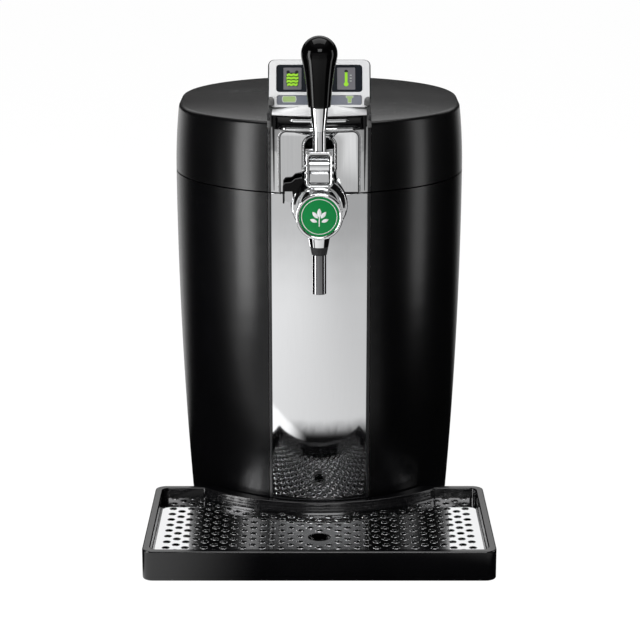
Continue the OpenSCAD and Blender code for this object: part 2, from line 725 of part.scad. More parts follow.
// An outline of [y, z] points drawn out along X.
module side_plate(x0, x1) {
  translate([x0, 0, 0]) rotate([90, 0, 90]) linear_extrude(x1 - x0) children();
}
module ear_outline() {
  polygon(concat([[-ear_root, ear_z0], [ear_toe - body_r, ear_z0]],
    arc(ear_nose - ear_front, ear_z - ear_nose, ear_nose, 190, 90, 8),
    [[housing_front - seat, ear_z], [housing_front - seat, frame_top], [-ear_root, frame_top]]));
}
// One ear: it stands on the rail, and its upper end reaches in over the console's corner.
module ear() {
  side_plate(ear_x[1], ear_x[2]) ear_outline();
  intersection() {
    side_plate(ear_x[1], panel_half + rail_w) ear_outline();
    slab(far, -far, 0, 0, ear_foot_z);
  }
  intersection() {
    side_plate(ear_x[0], ear_x[2]) ear_outline();
    slab(far, -far, 0, face_z + ear_lift, far);
  }
}
module lid_frame() {
  color("#202124") difference() {
    union() {
      bay(panel_proud + rail_proud, lid_web, panel_half + rail_w, lid_bottom, frame_top, true);
      ear();
      mirror([1, 0, 0]) ear();
    }
    intersection() {
      bay(cut_out, fascia_in + seat, panel_half + seat, lid_bottom - over, frame_top + over, true);
      slab(far, -far, 0, 0, frame_top);
    }
    slab(2 * (slot_half + liner_t + seat), -far, 0, 0, slot_top + liner_t + seat);
    intersection() {
      on_face() slab(2 * (console_half + seat), -seat, far, -seat, far);
      slab(far, -far, 0, frame_top, far);
    }
  }
}
cove_lift = 0.5;
cove_z = (field_top + frame_top) / 2 + cove_lift;
module lid_fascia() {
  field_y = bay_y(field_half, 0) + field_depth;
  color("#c9cbce") difference() {
    bay(panel_proud, fascia_in, panel_half, lid_bottom, frame_top, true);
    arch_y(field_half, 0, field_top, field_corner, -far, field_y);
    arch_y(slot_half, 0, slot_top, slot_corner, -far, 0);
    slab(2 * (slot_half + liner_t + seat), bay_y(0, fascia_in) - 2 * seat, 0, 0,
      slot_top + liner_t + seat);
    translate([0, 0, tap_z]) rod_y(tap_cut_r, -far, -front_cut);
    intersection() {
      translate([0, -bay_shift, 0]) rotate_extrude(angle = 180, start = 180)
        translate([lid_r(cove_z) - bay_shift + panel_proud + cove_out, cove_z]) circle(cove_r);
      slab(2 * (panel_half - cove_end), -far, 0, 0, far);
    }
  }
}

/* ---- console ---- */
bezel_t = 8;
bezel_corner = 5;
win_half = 38.5;
win_h = 26;
win_v = 27.4;           // height of the window's middle, measured up the face
win_t = 1.5;
win_in = 0.5;           // depth of the window below the face
win_corner = 3;
win_ledge = [2, 1.5];   // width of the ledge that carries the window, at its sides and ends
strip_half = 38;
strip_h = 9;
strip_v = 6.6;
strip_corner = 2;
tile = [16.4, 21.4];
tile_x = 24.1;
tile_corner = 1;
tile_in = 0.7;          // depth of the display tiles below the face
board_in = 5;           // depth of the display board
board_edge = [2.5, 2];  // gap between the display board and the window's outline
visor_in = 11;          // distance from the column's side back to the visor's lower edge
visor_r = body_r - visor_in;
visor_half = 42.4;
visor_edge = 2;         // rounding of the visor's lower edge
visor_lift = 1.5;       // height of the visor's top above the face's bottom edge
visor_t = 30;
visor_lap = [4, 2.4];   // depth and height of the visor's step round the bezel
stem_r = 2;
cap_t = 4;
cap_recess = 0.3;
cap_corner = 1.8;
cap_gap = 0.3;          // half the gap between the two keys
pocket_spare = 0.3;
pocket_d = cap_recess + cap_t + button_travel + pocket_spare;

module on_face() {
  translate([0, -face_front, face_z]) rotate([-console_lean, 0, 0]) children();
}
// A rounded plate parallel to the console's face, from depth d0 to depth d1.
module plate(w, h, r, d0, d1, v, x = 0) {
  translate([x, d1, v]) rotate([90, 0, 0]) linear_extrude(d1 - d0) rounded(w, h, r);
}
button_x = [-strip_half / 2, strip_half / 2];
module console_bezel() {
  color("#d9dbdd") on_face() difference() {
    plate(2 * console_half, face_h, bezel_corner, 0, bezel_t, face_h / 2);
    plate(2 * (win_half + seat), win_h + 2 * seat, win_corner, -over, win_in + win_t + seat, win_v);
    plate(2 * (win_half - win_ledge[0]), win_h - 2 * win_ledge[1], win_corner - over,
      -over, bezel_t + over, win_v);
    plate(2 * (strip_half + seat), strip_h + 2 * seat, strip_corner, -over, pocket_d, strip_v);
    for (x = button_x) translate([x, 0, strip_v]) rod_y(stem_r + run_gap, 0, bezel_t + over);
  }
}
module display_window() {
  color("#12161d") on_face() difference() {
    plate(2 * win_half, win_h, win_corner, win_in, win_in + win_t, win_v);
    for (x = [-1, 1])
      plate(tile[0] + seat, tile[1] + seat, tile_corner, 0, win_in + win_t + over, win_v, x * tile_x);
  }
}
module tile_at(x) {
  on_face() plate(tile[0], tile[1], tile_corner, tile_in, board_in, win_v, x);
}
module level_display() { color("#6b6a70") tile_at(-tile_x); }
module temperature_display() { color("#6b6a70") tile_at(tile_x); }
module display_board() {
  color("#2f6b3a") on_face()
    plate(2 * (win_half - board_edge[0]), win_h - 2 * board_edge[1], tile_corner,
      board_in, board_in + board_t, win_v);
}
module button(x) {
  on_face() {
    plate(strip_half - 2 * cap_gap, strip_h, cap_corner, cap_recess, cap_recess + cap_t, strip_v, x);
    translate([x, 0, strip_v]) rod_y(stem_r, cap_recess + cap_t - eps, bezel_t + over);
  }
}
module level_button() { color("#6f7480") button(button_x[0]); }
module temperature_button() { color("#6f7480") button(button_x[1]); }
// Point of the plane behind the bezel, v up the face and d below it, as [y, z].
function on_back(v, d) = [-face_front + v * sin(console_lean) + d * cos(console_lean),
  face_z + v * cos(console_lean) - d * sin(console_lean)];
housing_in = 7;         // distance from the column's side back to the housing's front
housing_front = housing_in - body_r;
housing_edge = 6;       // rounding of the housing's top edge
housing_drop = 7;       // distance from the face's top edge down to that rounding
housing_rear = 72;      // distance from the axis to the housing's rear end
housing_tail = 4;       // height of the rear end above the lid's rim
housing_side = 0.5;
housing_wall = 2;
housing_open = 4;       // wall left below and above the opening behind the bezel
function housing_outline(i) =
  let (d = bezel_t + seat + i, r = housing_edge - i / 2, c = on_back(face_h - housing_drop, d + r),
    v0 = (housing_front + i + face_front - d * cos(console_lean)) / sin(console_lean))
  concat([[housing_front + i, field_top - i], on_back(v0, d)],
    arc(c[0], c[1], r, 180 - console_lean, 40, 8),
    [[-housing_rear - i, rim_z + housing_tail - i / 2], [-housing_rear - i, field_top - i]]);
module console_housing() {
  half = console_half - housing_side;
  color("#1f2023") difference() {
    side_plate(-half, half) polygon(housing_outline(0));
    side_plate(housing_wall - half, half - housing_wall) polygon(housing_outline(housing_wall));
    rotate_extrude(angle = 180, start = 180)
      polygon(concat([[0, lid_bottom]], side(lid_bottom, crown_z(-seat), -seat, true), crown(-seat)));
    slab(2 * (bay_half + bay_gap), -far, lid_back + 2 * seat, 0, frame_top + seat);
    on_face() slab(2 * win_half, 0, bezel_t + 2 * housing_wall, housing_open, face_h - housing_open);
  }
}
module console_visor() {
  z0 = frame_top + seat;
  r0 = -housing_front - bay_shift - visor_t;
  color("#d9dbdd") difference() {
    intersection() {
      translate([0, -bay_shift, 0]) rotate_extrude(angle = 180, start = 180)
        polygon(concat([[r0, z0]], arc(visor_r - visor_edge, z0 + visor_edge, visor_edge, -90, 30, 6),
          [[face_front - bay_shift, face_z + visor_lift], [r0, face_z + visor_lift]]));
      slab(2 * visor_half, -far, housing_front - seat, 0, far);
    }
    on_face() slab(far, -seat, far, -seat, far);
    on_face() slab(far, bezel_t - visor_lap[0], far, -visor_lap[1], far);
  }
}

/* ---- tap ---- */
pivot_z = tap_z + pivot_rise;
nozzle_z = tap_z - nozzle_drop;
handle_top = pivot_z + handle_rise;
barrel_lead = 12;       // length of the barrel in front of the nozzle's axis
barrel_front = tap_reach + barrel_lead;
bezel_lap = 3.5;        // length of barrel that the badge's bezel covers
barrel_rear = body_r + panel_proud - panel_t + seat;
ring_gap = 0.6;         // gap between the lock ring and the panel's round cut
ring_r = tap_cut_r - ring_gap;
ring_t = 7;
cone_r = [8.4, 12.2];
cone_h = 23.6;
cone_drop = 29.6;       // distance from the badge's centre down to the cone's lower end
cone_z = tap_z - cone_drop;
collar_h = 7.6;
collar_z = cone_z - collar_h;
nut_r = 12;
nut_t = 5;
shank_end = 8;          // length of the shank behind the panel's frame
nut_gap = 0.05;
disc_r = 17.7;
disc_z = [1.7, 3.1, 3.4];  // the badge disc's rear face, edge and front face
tube_wall = 1.2;
flow_r = nozzle_r - tube_wall;
flow_rise = 9;          // height of the beer's passage above the badge's centre
tube_in = 7;            // length of tube inside the cone
boss_r = 7.8;
boss_half = 9.2;
boss_rise = 6;          // half the height of the web from arm to boss
arm_y = [11, 17];       // arm that carries the boss, behind the nozzle's axis
arm_foot = 8;
fork_half = 12.2;
fork_gap = 0.4;         // side clearance between fork and boss
fork_z = [-19, 13.4];   // fork's lower and upper edge, from the pivot
fork_bar = 2.8;
fork_y = [-8.6, -4.5];
stem_base = 5.6;
stem_top = 8.3;
fork_corner = [5, 3];   // rounding of the fork's outline and of its window
neck_h = 30;            // height of the fork's neck above the pivot
ferrule_h = 21.5;
ferrule_z = pivot_z + neck_h;
grip_z = ferrule_z + ferrule_h;
stud_r = 4;
stud_gap = 0.05;
stud_len = [7, 25];     // length of stud in the fork's neck and in the grip
plunger_r = 2.5;
plunger_z = -17;
plunger_y = [-4, 19];

module at_tap(z) { translate([0, -tap_reach, z]) children(); }
module tap_body() {
  color("#c4c6c9") difference() {
    union() {
      translate([0, 0, tap_z]) rod_y(barrel_r, -barrel_front, -barrel_rear);
      translate([0, 0, shank_z]) rod_y(shank_r, -barrel_rear - over, bay_y(0, web_in) + shank_end);
      at_tap(cone_z) cylinder(r1 = cone_r[0], r2 = cone_r[1], h = cone_h);
      at_tap(pivot_z) rod_x(boss_r, -boss_half, boss_half);
      at_tap(pivot_z) slab(2 * boss_half, 0, arm_y[1], -boss_rise, boss_rise);
      at_tap(0) slab(2 * boss_half, arm_y[0], arm_y[1], tap_z + arm_foot, pivot_z + boss_rise);
    }
    translate([0, 0, tap_z]) difference() {
      rod_y(bezel_r + seat, -far, -barrel_front + bezel_lap + seat);
      rod_y(barrel_r + seat / 2, -far - over, -barrel_front + bezel_lap + seat + over);
    }
    at_tap(cone_z - over) cylinder(r = nozzle_r + seat, h = tube_in + seat + over);
    at_tap(cone_z) cylinder(r = flow_r, h = cone_drop + flow_rise);
    translate([0, 0, tap_z + flow_rise]) rod_y(flow_r, -tap_reach, 0);
    at_tap(pivot_z) rod_x(pin_r + run_gap, -far, far);
    at_tap(pivot_z + plunger_z) rod_y(plunger_r + run_gap, arm_y[0] - over, arm_y[1] + over);
  }
}
module tap_nut() {
  y = bay_y(nut_r, web_in) + seat;
  color("#a9acb0") translate([0, 0, shank_z]) difference() {
    rod_y(nut_r, y, y + nut_t, $fn = 6);
    rod_y(shank_r + nut_gap, y - over, y + nut_t + over);
  }
}
lug_y = [-9.5, -4.5];   // front and rear of the ring's lever, from the ring's rear face
lug_t = 1.6;            // thickness of the lever's thumb edge
// The lever's outline, from its root on the ring up, out and down along the thumb edge
lug_out = 33;           // reach of the thumb edge from the ring's middle
lug_outline = [[-13, 14], [-13, 25], [-15.5, 26.4], [-22, 25], [-25, 22], [2 - lug_out, 21.4],
  [-lug_out, 19], [-lug_out, 3], [lug_t - lug_out, 3], [lug_t - lug_out, 14], [-24, 14], [-20, 12]];
module lock_ring() {
  color("#c4c6c9") translate([0, 0, tap_z]) difference() {
    union() {
      rod_y(ring_r, -barrel_rear - ring_t, -barrel_rear);
      translate([0, -barrel_rear, 0]) panel_y(lug_y[0], lug_y[1]) polygon(lug_outline);
    }
    rod_y(barrel_r + run_gap, -far, 0);
  }
}
// A profile of [radius, distance] turned about an axis along Y, pointing to the front.
module turned_front(y, z) { translate([0, y, z]) rotate([90, 0, 0]) rotate_extrude() children(); }
bezel_floor = 1.6;      // depth of metal in front of the barrel's end
bezel_lip = 4;          // height of the rim round the badge
bezel_edge = [1, 2];    // rounding of the rim's rear and front edges
bezel_bevel = 1.2;
module badge_bezel() {
  lap_r = barrel_r + seat;
  color("#c4c6c9") turned_front(-barrel_front, tap_z) polygon(concat(
    [[0, seat], [lap_r, seat], [lap_r, -bezel_lap], [bezel_r - bezel_edge[0], -bezel_lap]],
    arc(bezel_r - bezel_edge[0], bezel_edge[0] - bezel_lap, bezel_edge[0], -90, 0, 4),
    arc(bezel_r - bezel_edge[1], bezel_lip - bezel_edge[1], bezel_edge[1], 0, 90, 6),
    [[disc_r + bezel_bevel, bezel_lip], [disc_r + seat, bezel_lip - over],
      [disc_r + seat, bezel_floor], [0, bezel_floor]]));
}
module badge_disc() {
  color("#00a050") turned_front(-barrel_front, tap_z) polygon([[0, disc_z[0]], [disc_r, disc_z[0]],
    [disc_r, disc_z[1]], [disc_r - over, disc_z[2]], [0, disc_z[2]]]);
}
collar_step = [0.4, 0.2];  // width over the tube, and step below the cone's end
module nozzle_collar() {
  color("#17181a") at_tap(collar_z) difference() {
    cylinder(r1 = nozzle_r + collar_step[0], r2 = cone_r[0] - collar_step[1], h = collar_h);
    translate([0, 0, -over]) cylinder(r = nozzle_r + stud_gap, h = collar_h + 2 * over);
  }
}
module nozzle_tube() {
  color("#b9bcc0") at_tap(nozzle_z) difference() {
    cylinder(r = nozzle_r, h = cone_z + tube_in - nozzle_z);
    translate([0, 0, -over]) cylinder(r = flow_r, h = far);
  }
}
module lever_fork() {
  inner = boss_half + fork_gap;
  color("#c9cbce") at_tap(pivot_z) difference() {
    union() {
      translate([0, fork_y[1], (fork_z[0] + fork_z[1]) / 2]) rotate([90, 0, 0])
        linear_extrude(fork_y[1] - fork_y[0])
          rounded(2 * fork_half, fork_z[1] - fork_z[0], fork_corner[0]);
      for (x = [-1, 1]) translate([x * (inner + fork_half) / 2, 0, 0]) {
        rod_x(boss_r, (inner - fork_half) / 2, (fork_half - inner) / 2);
        slab(fork_half - inner, fork_y[1] - over, 0, -boss_r, fork_z[1] - fork_bar - over);
        slab(fork_half - inner, 0, stem_base, 0, fork_z[1] - fork_bar - over);
      }
      slab(2 * fork_half, fork_y[1] - over, stem_base, fork_z[1] - fork_bar, fork_z[1]);
      translate([0, 0, fork_z[1] - over]) cylinder(r = stem_base, h = neck_h - fork_z[1] + over);
    }
    translate([0, far / 2, (fork_z[0] + fork_z[1]) / 2]) rotate([90, 0, 0]) linear_extrude(far)
      rounded(2 * inner, fork_z[1] - fork_z[0] - 2 * fork_bar, fork_corner[1]);
    rod_x(pin_r + run_gap, -far, far);
    translate([0, 0, neck_h - stud_len[0] - over]) cylinder(r = stud_r + stud_gap, h = far);
  }
}
module lever_pin() {
  half = fork_half - pin_play;
  color("#8d9094") at_tap(pivot_z) rod_x(pin_r, -half, half);
}
module lever_ferrule() {
  color("#c9cbce") at_tap(ferrule_z) {
    cylinder(r1 = stem_base, r2 = stem_top, h = ferrule_h);
    translate([0, 0, -stud_len[0]]) cylinder(r = stud_r, h = stud_len[0] + over);
    translate([0, 0, ferrule_h - over]) cylinder(r = stud_r, h = stud_len[1] + over);
  }
}
grip_gap = 0.1;
// Radius and height above its lower end, up the grip's narrow part
grip_profile = [[9.4, 0], [10, 0.8], [11.1, 11.9], [12.5, 21.9], [14.1, 31.9]];
module handle_grip() {
  z0 = grip_z + grip_gap;
  color("#0f0f10") at_tap(0) difference() {
    rotate_extrude() polygon(concat([[0, z0]], [for (p = grip_profile) [p[0], z0 + p[1]]],
      arc(0, handle_top - grip_r, grip_r, -14, 90, 16)));
    translate([0, 0, grip_z - over]) cylinder(r = stud_r + stud_gap, h = stud_len[1] + 2 * over);
  }
}
module valve_plunger() {
  color("#8d9094") at_tap(pivot_z + plunger_z) rod_y(plunger_r, plunger_y[0], plunger_y[1]);
}

/* ---- drip tray ---- */
tray_z0 = 0.4;
tray_corner = 10;
floor_t = 2.6;
ledge = 3;
arc_r = 163;            // radius of the tray's curved rear wall
foot_gap = 1.2;
// Distance from the column's axis to the middle of that wall
arc_front = base_r(tray_h) + foot_gap + tray_wall;
drain_r = 10.5;
drain_y = -201;
hole_y0 = -94.5;
hole_edge = [2.5, 2, 1.2];  // metal left at the grille's edge, at its curved side and round the drain
grille_gap = 0.3;
module tray_plan(inset) {
  difference() {
    translate([0, -(tray_reach + tray_rear) / 2])
      rounded(tray_w - 2 * inset, tray_reach - tray_rear - 2 * inset, tray_corner - inset / 2);
    if (inset > 0) translate([0, arc_r - arc_front]) circle(arc_r + inset - tray_wall);
  }
}
module drip_tray() {
  color("#0e0e0f") difference() {
    translate([0, 0, tray_z0]) linear_extrude(tray_h - tray_z0) tray_plan(0);
    translate([0, 0, -over]) cylinder(r = base_r(tray_h) + foot_gap, h = far);
    translate([0, 0, grille_z - grille_t]) linear_extrude(far) tray_plan(tray_wall);
    translate([0, 0, tray_z0 + floor_t]) linear_extrude(far) tray_plan(tray_wall + ledge);
  }
}
function in_grille(x, y) =
  abs(x) < tray_w / 2 - tray_wall - hole_r - hole_edge[0]
  && norm([x, y - arc_r + arc_front]) > arc_r + hole_r + hole_edge[1]
  && norm([x, y - drain_y]) > drain_r + hole_r + hole_edge[2]
  && y > tray_wall + hole_r + hole_edge[0] - tray_reach;
module drip_grille() {
  cols = floor((tray_w / 2 - tray_wall) / hole_dx);
  rows = floor((tray_reach + hole_y0) / hole_dy);
  color("#c9cbce") translate([0, 0, grille_z - grille_t]) linear_extrude(grille_t) difference() {
    tray_plan(tray_wall + grille_gap);
    translate([0, drain_y]) circle(drain_r);
    for (i = [-cols : cols]) for (j = [0 : rows]) {
      x = i * hole_dx;
      y = hole_y0 - j * hole_dy;
      if ((i + j) % 2 == 0 && in_grille(x, y)) translate([x, y]) circle(hole_r, $fn = 24);
    }
  }
}

place() base_shell();
place() panel_frame();
place() front_panel();
place() base_plate();
place() feet();
place() board_screws();
place() cooling_chamber();
place() insulation_jacket();
place() chamber_deck();
place() temperature_probe();
place() cold_block();
place() peltier_module();
place() heat_sink();
place() fan_frame();
place() fan_rotor();
place() fan_screws();
place() rear_grille();
place() power_inlet();
place() switch_housing();
place() switch_rocker();
place() power_board();
place() hinge_bracket();
place() hinge_pin();
place() hinge_leaf();
place() bracket_screws();
place() leaf_screws();
place() lid_shell();
place() lid_liner();
place() lid_insulation();
place() lid_gasket();
place() lid_frame();
place() lid_fascia();
place() console_bezel();
place() console_housing();
place() console_visor();
place() display_window();
place() level_display();
place() temperature_display();
place() display_board();
place() level_button();
place() temperature_button();
place() tap_body();
place() tap_nut();
place() lock_ring();
place() badge_bezel();
place() badge_disc();
place() nozzle_collar();
place() nozzle_tube();
place() lever_fork();
place() lever_pin();
place() lever_ferrule();
place() handle_grip();
place() valve_plunger();
place() drip_tray();
place() drip_grille();
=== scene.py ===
# %% [markdown]
# # A mini keg beer dispenser
#
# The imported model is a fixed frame: every node already has its real size and place, in metres.
# This script adds the looks around it, one piece at a time, and never moves or resizes a node.
# The room is a pale floor, soft studio light and one camera.

# %% Load the frame
import json
import math

import bmesh
import bpy
import numpy as np
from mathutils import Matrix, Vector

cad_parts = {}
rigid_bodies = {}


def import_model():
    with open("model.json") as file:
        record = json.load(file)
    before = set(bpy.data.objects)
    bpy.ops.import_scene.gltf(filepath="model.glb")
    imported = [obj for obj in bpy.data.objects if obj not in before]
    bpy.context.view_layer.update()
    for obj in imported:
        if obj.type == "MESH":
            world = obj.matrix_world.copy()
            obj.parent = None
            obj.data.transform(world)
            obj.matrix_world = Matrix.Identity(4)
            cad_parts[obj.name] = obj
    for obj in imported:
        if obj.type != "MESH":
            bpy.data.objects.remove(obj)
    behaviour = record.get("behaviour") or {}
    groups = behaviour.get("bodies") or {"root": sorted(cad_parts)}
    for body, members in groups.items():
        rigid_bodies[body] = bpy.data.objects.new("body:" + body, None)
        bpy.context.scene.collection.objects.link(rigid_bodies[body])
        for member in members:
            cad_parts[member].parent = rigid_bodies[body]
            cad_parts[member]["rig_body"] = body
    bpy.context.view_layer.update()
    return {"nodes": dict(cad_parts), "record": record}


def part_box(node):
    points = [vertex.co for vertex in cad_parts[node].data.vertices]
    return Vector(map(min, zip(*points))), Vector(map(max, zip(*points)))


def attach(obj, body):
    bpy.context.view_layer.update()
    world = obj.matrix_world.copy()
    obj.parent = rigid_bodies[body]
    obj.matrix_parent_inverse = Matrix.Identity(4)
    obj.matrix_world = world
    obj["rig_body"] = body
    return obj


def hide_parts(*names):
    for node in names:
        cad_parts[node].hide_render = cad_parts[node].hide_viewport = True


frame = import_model()
MM = 0.001


def stand(name, data):
    """An object of the data, put in the scene."""
    thing = bpy.data.objects.new(name, data)
    bpy.context.scene.collection.objects.link(thing)
    return thing


# %% [markdown]
# ## Sizes taken from the frame
#
# The column is a long round drum. Its axis, its radius at the seam and the seam's height are read
# from the nodes, so this script follows if the model changes. One large radius describes how the
# lid's side leans in as it rises.

# %% Column sizes
shell_low, shell_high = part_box("base_shell")
lid_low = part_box("lid_shell")[0]
chamber_low, chamber_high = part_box("cooling_chamber")
AXIS_Y = (chamber_low.y + chamber_high.y) / 2
SEAM_R = (shell_high.x - shell_low.x) / 2
SEAM_Z = (shell_high.z + lid_low.z) / 2
RIM_Z = 388 * MM                      # the lid's rim, where its low dome begins
LID_CURVE = 567 * MM
print("axis y %.4f, seam radius %.4f, seam height %.4f" % (AXIS_Y, SEAM_R, SEAM_Z))

# %% [markdown]
# ## Camera
#
# The photograph was taken from about two metres, a little above the lid, with a long lens. A long
# lens keeps the column's sides almost parallel, and the height shows the lid's top as a thin oval.

# %% Camera
CAMERA_DISTANCE = 2.0
CAMERA_HEIGHT = 0.6843
CAMERA_PITCH = math.radians(14.4)
FOCAL_PIXELS = 2092.6
IMAGE_PIXELS = 640
CENTRE_PIXEL = 319.3
SENSOR = 36.0

camera_data = bpy.data.cameras.new("camera")
camera_data.sensor_width = SENSOR
camera_data.lens = FOCAL_PIXELS / IMAGE_PIXELS * SENSOR
camera_data.shift_x = (IMAGE_PIXELS / 2 - CENTRE_PIXEL) / IMAGE_PIXELS
camera = stand("camera", camera_data)
camera.location = (0.0, AXIS_Y - CAMERA_DISTANCE, CAMERA_HEIGHT)
camera.rotation_euler = (math.pi / 2 - CAMERA_PITCH, 0.0, 0.0)
bpy.context.scene.camera = camera
bpy.context.scene.view_settings.view_transform = "Standard"
print("lens %.1f mm" % camera_data.lens)

# %% [markdown]
# ## Studio light
#
# Black satin plastic shows almost nothing but what it mirrors, so the lamps are placed by what the
# drum reflects: a tall soft box far to the left gives the broad streak on the left flank, and a
# weaker one on the right gives the narrow streak there. The backdrop is white, which lights the
# outermost edges by grazing reflection. A soft lamp overhead lights the lid and the tray.

# %% Lamps
def aim(thing, target):
    """Turns an object so that its -Z axis points from where it is to the target."""
    direction = np.array(target) - np.array(thing.location)
    yaw = math.atan2(direction[0], -direction[1])
    tilt = math.atan2(math.hypot(direction[0], direction[1]), -direction[2])
    thing.rotation_euler = (tilt, 0.0, yaw + math.pi)


def soft_box(name, place, target, width, height, power):
    """A rectangular area lamp."""
    data = bpy.data.lights.new(name, "AREA")
    data.shape = "RECTANGLE"
    data.size = width
    data.size_y = height
    data.energy = power
    lamp = stand(name, data)
    lamp.location = place
    aim(lamp, target)


TARGET = (0.0, AXIS_Y, 0.22)
AIM_RISE = 0.14                       # a lamp aims level, but at most this far above the target


def around(azimuth, distance, height):
    """A place at an azimuth from the front, positive to the right, in degrees."""
    a = math.radians(azimuth)
    return (distance * math.sin(a), AXIS_Y - distance * math.cos(a), height)


LAMPS = {
    "left_box": (around(-56, 0.8, 0.36), 0.2, 0.7, 4.3),
    "right_box": (around(80, 0.85, 0.36), 0.18, 0.7, 1.15),
    "top_box": ((0.0, AXIS_Y + 0.1, 1.9), 1.6, 1.2, 16.0),
    "front_fill": (around(4, 2.6, 1.9), 1.2, 0.8, 22.0),
}
for lamp_name, (place, width, height, power) in LAMPS.items():
    aim_height = min(place[2], TARGET[2] + AIM_RISE)
    soft_box(lamp_name, place, (TARGET[0], TARGET[1], aim_height), width, height, power)
print("lamps:", len(bpy.data.lights))

# %% [markdown]
# ## Node helpers
#
# The room, the floor and the surface effects are small sums of nodes. Five helpers keep them short:
# one adds any node, one a sum, one a product, one a smooth step between two values, and one the parts
# of a place or a direction.

# %% Node helpers
def chain(tree, kind, inputs, **settings):
    """Adds a node, sets its properties, fills its inputs from sockets or values; its first output."""
    node = tree.nodes.new(kind)
    for label, value in settings.items():
        setattr(node, label, value)
    for index, value in inputs.items():
        if isinstance(value, bpy.types.NodeSocket):
            tree.links.new(value, node.inputs[index])
        else:
            node.inputs[index].default_value = value
    return node.outputs[0]


def calc(tree, operation, a, b=0.0):
    """A Math node on two sockets or numbers."""
    return chain(tree, "ShaderNodeMath", {0: a, 1: b}, operation=operation)


def times(tree, a, b):
    """The product of two sockets or numbers."""
    return calc(tree, "MULTIPLY", a, b)


def ease(tree, value, low, high, at_low, at_high):
    """A smooth step of a value: at_low below low, at_high above high."""
    return chain(tree, "ShaderNodeMapRange", {0: value, 1: low, 2: high, 3: at_low, 4: at_high},
                 interpolation_type="SMOOTHSTEP")


def axes(tree, kind):
    """X, Y and Z of one kind of texture coordinate."""
    place = tree.nodes.new("ShaderNodeTexCoord")
    parts = tree.nodes.new("ShaderNodeSeparateXYZ")
    tree.links.new(place.outputs[kind], parts.inputs[0])
    return parts.outputs


print("helpers: chain, calc, times, ease, axes")

# %% [markdown]
# ## Room
#
# What a mirror sees of the room depends on the direction: white high up behind the object, pale low
# in front of it, a soft grey overhead and almost black at the sides. The camera sees a white page,
# and matt surfaces an even grey fill.

# %% Room
PAGE_WHITE = 1.08
BACK_WHITE, BACK_LOW = 1.1, 0.04
FRONT_PALE, FRONT_HIGH = 0.4, 0.03
SIDE_DARK = 0.004
OVERHEAD = 0.24
ROOM_FILL = 0.36
# Where each wall fades in: along Z for the height of the look, along Y for its turn to the back.
BACK_RISE, BACK_TURN = (0.27, 0.32), (0.55, 0.9)
FRONT_RISE, FRONT_TURN = (0.15, 0.28), (-0.9, -0.45)
TOP_RISE = (0.6, 0.9)

world = bpy.data.worlds.new("studio")
bpy.context.scene.world = world
world.use_nodes = True
room = world.node_tree
room.nodes.clear()
w_path = room.nodes.new("ShaderNodeLightPath")
look_y, look_z = axes(room, "Generated")[1:]
backdrop = ease(room, look_z, *BACK_RISE, BACK_LOW, BACK_WHITE)
to_back = calc(room, "MAXIMUM", SIDE_DARK, times(room, ease(room, look_y, *BACK_TURN, 0.0, 1.0), backdrop))
front_wall = ease(room, look_z, *FRONT_RISE, FRONT_PALE, FRONT_HIGH)
to_front = times(room, ease(room, look_y, *FRONT_TURN, 1.0, 0.0), front_wall)
to_top = ease(room, look_z, *TOP_RISE, 0.0, OVERHEAD)
mirrored = calc(room, "MAXIMUM", calc(room, "MAXIMUM", to_back, to_front), to_top)
fill = chain(room, "ShaderNodeMix", {0: w_path.outputs["Is Glossy Ray"], 2: ROOM_FILL, 3: mirrored},
             data_type="FLOAT")
seen = chain(room, "ShaderNodeMix", {0: w_path.outputs["Is Camera Ray"], 2: fill, 3: PAGE_WHITE},
             data_type="FLOAT")
w_back = chain(room, "ShaderNodeBackground", {"Strength": seen, "Color": (1.0, 1.0, 1.0, 1.0)})
room.links.new(w_back, room.nodes.new("ShaderNodeOutputWorld").inputs["Surface"])
print("room nodes:", len(room.nodes))

# %% [markdown]
# ## Floor
#
# One pale plane catches the shadow. Seen by the camera it is mixed with plain white, so that the
# page around the product stays white while a soft contact shadow remains. In mirrors it looks like a
# sheet of white paper in front of the object on a dark table: the upright steel panel mirrors the
# paper, and the black drum beside it mirrors the table.

# %% Floor
FLOOR_HALF = 6.0
FLOOR_GREY = 0.86
FLOOR_WHITE_SHARE = 0.88
PAPER_NEAR, PAPER_SOFT = 0.37, 0.03   # where the paper begins before the axis, and its soft edge
PAPER_ANGLE, PAPER_ANGLE_SOFT = math.radians(44), 0.08
PAPER_WHITE, PAPER_FAR_WHITE = 0.86, 0.56
PAPER_FADE = (0.8, 1.6)               # distances between which the one falls to the other
PAPER_SLANT = (-0.5, 0.5, 1.12, 0.8)  # brighter at its left edge than at its right one
TABLE_DARK, TABLE_REAR = 0.004, 0.9   # the table beside the paper, and behind the object
REAR_BEARING = (2.15, 2.65)
REAR_TURN = (-0.3, 0.3, 0.0, 0.25)    # the bright rear begins later on the right
CARD_GLOW = 1.3                       # a small card before the tray's left end, seen in its front
CARD_ACROSS = (-0.17, -0.05)
CARD_NEAR, CARD_FAR = (0.24, 0.26), (0.34, 0.38)

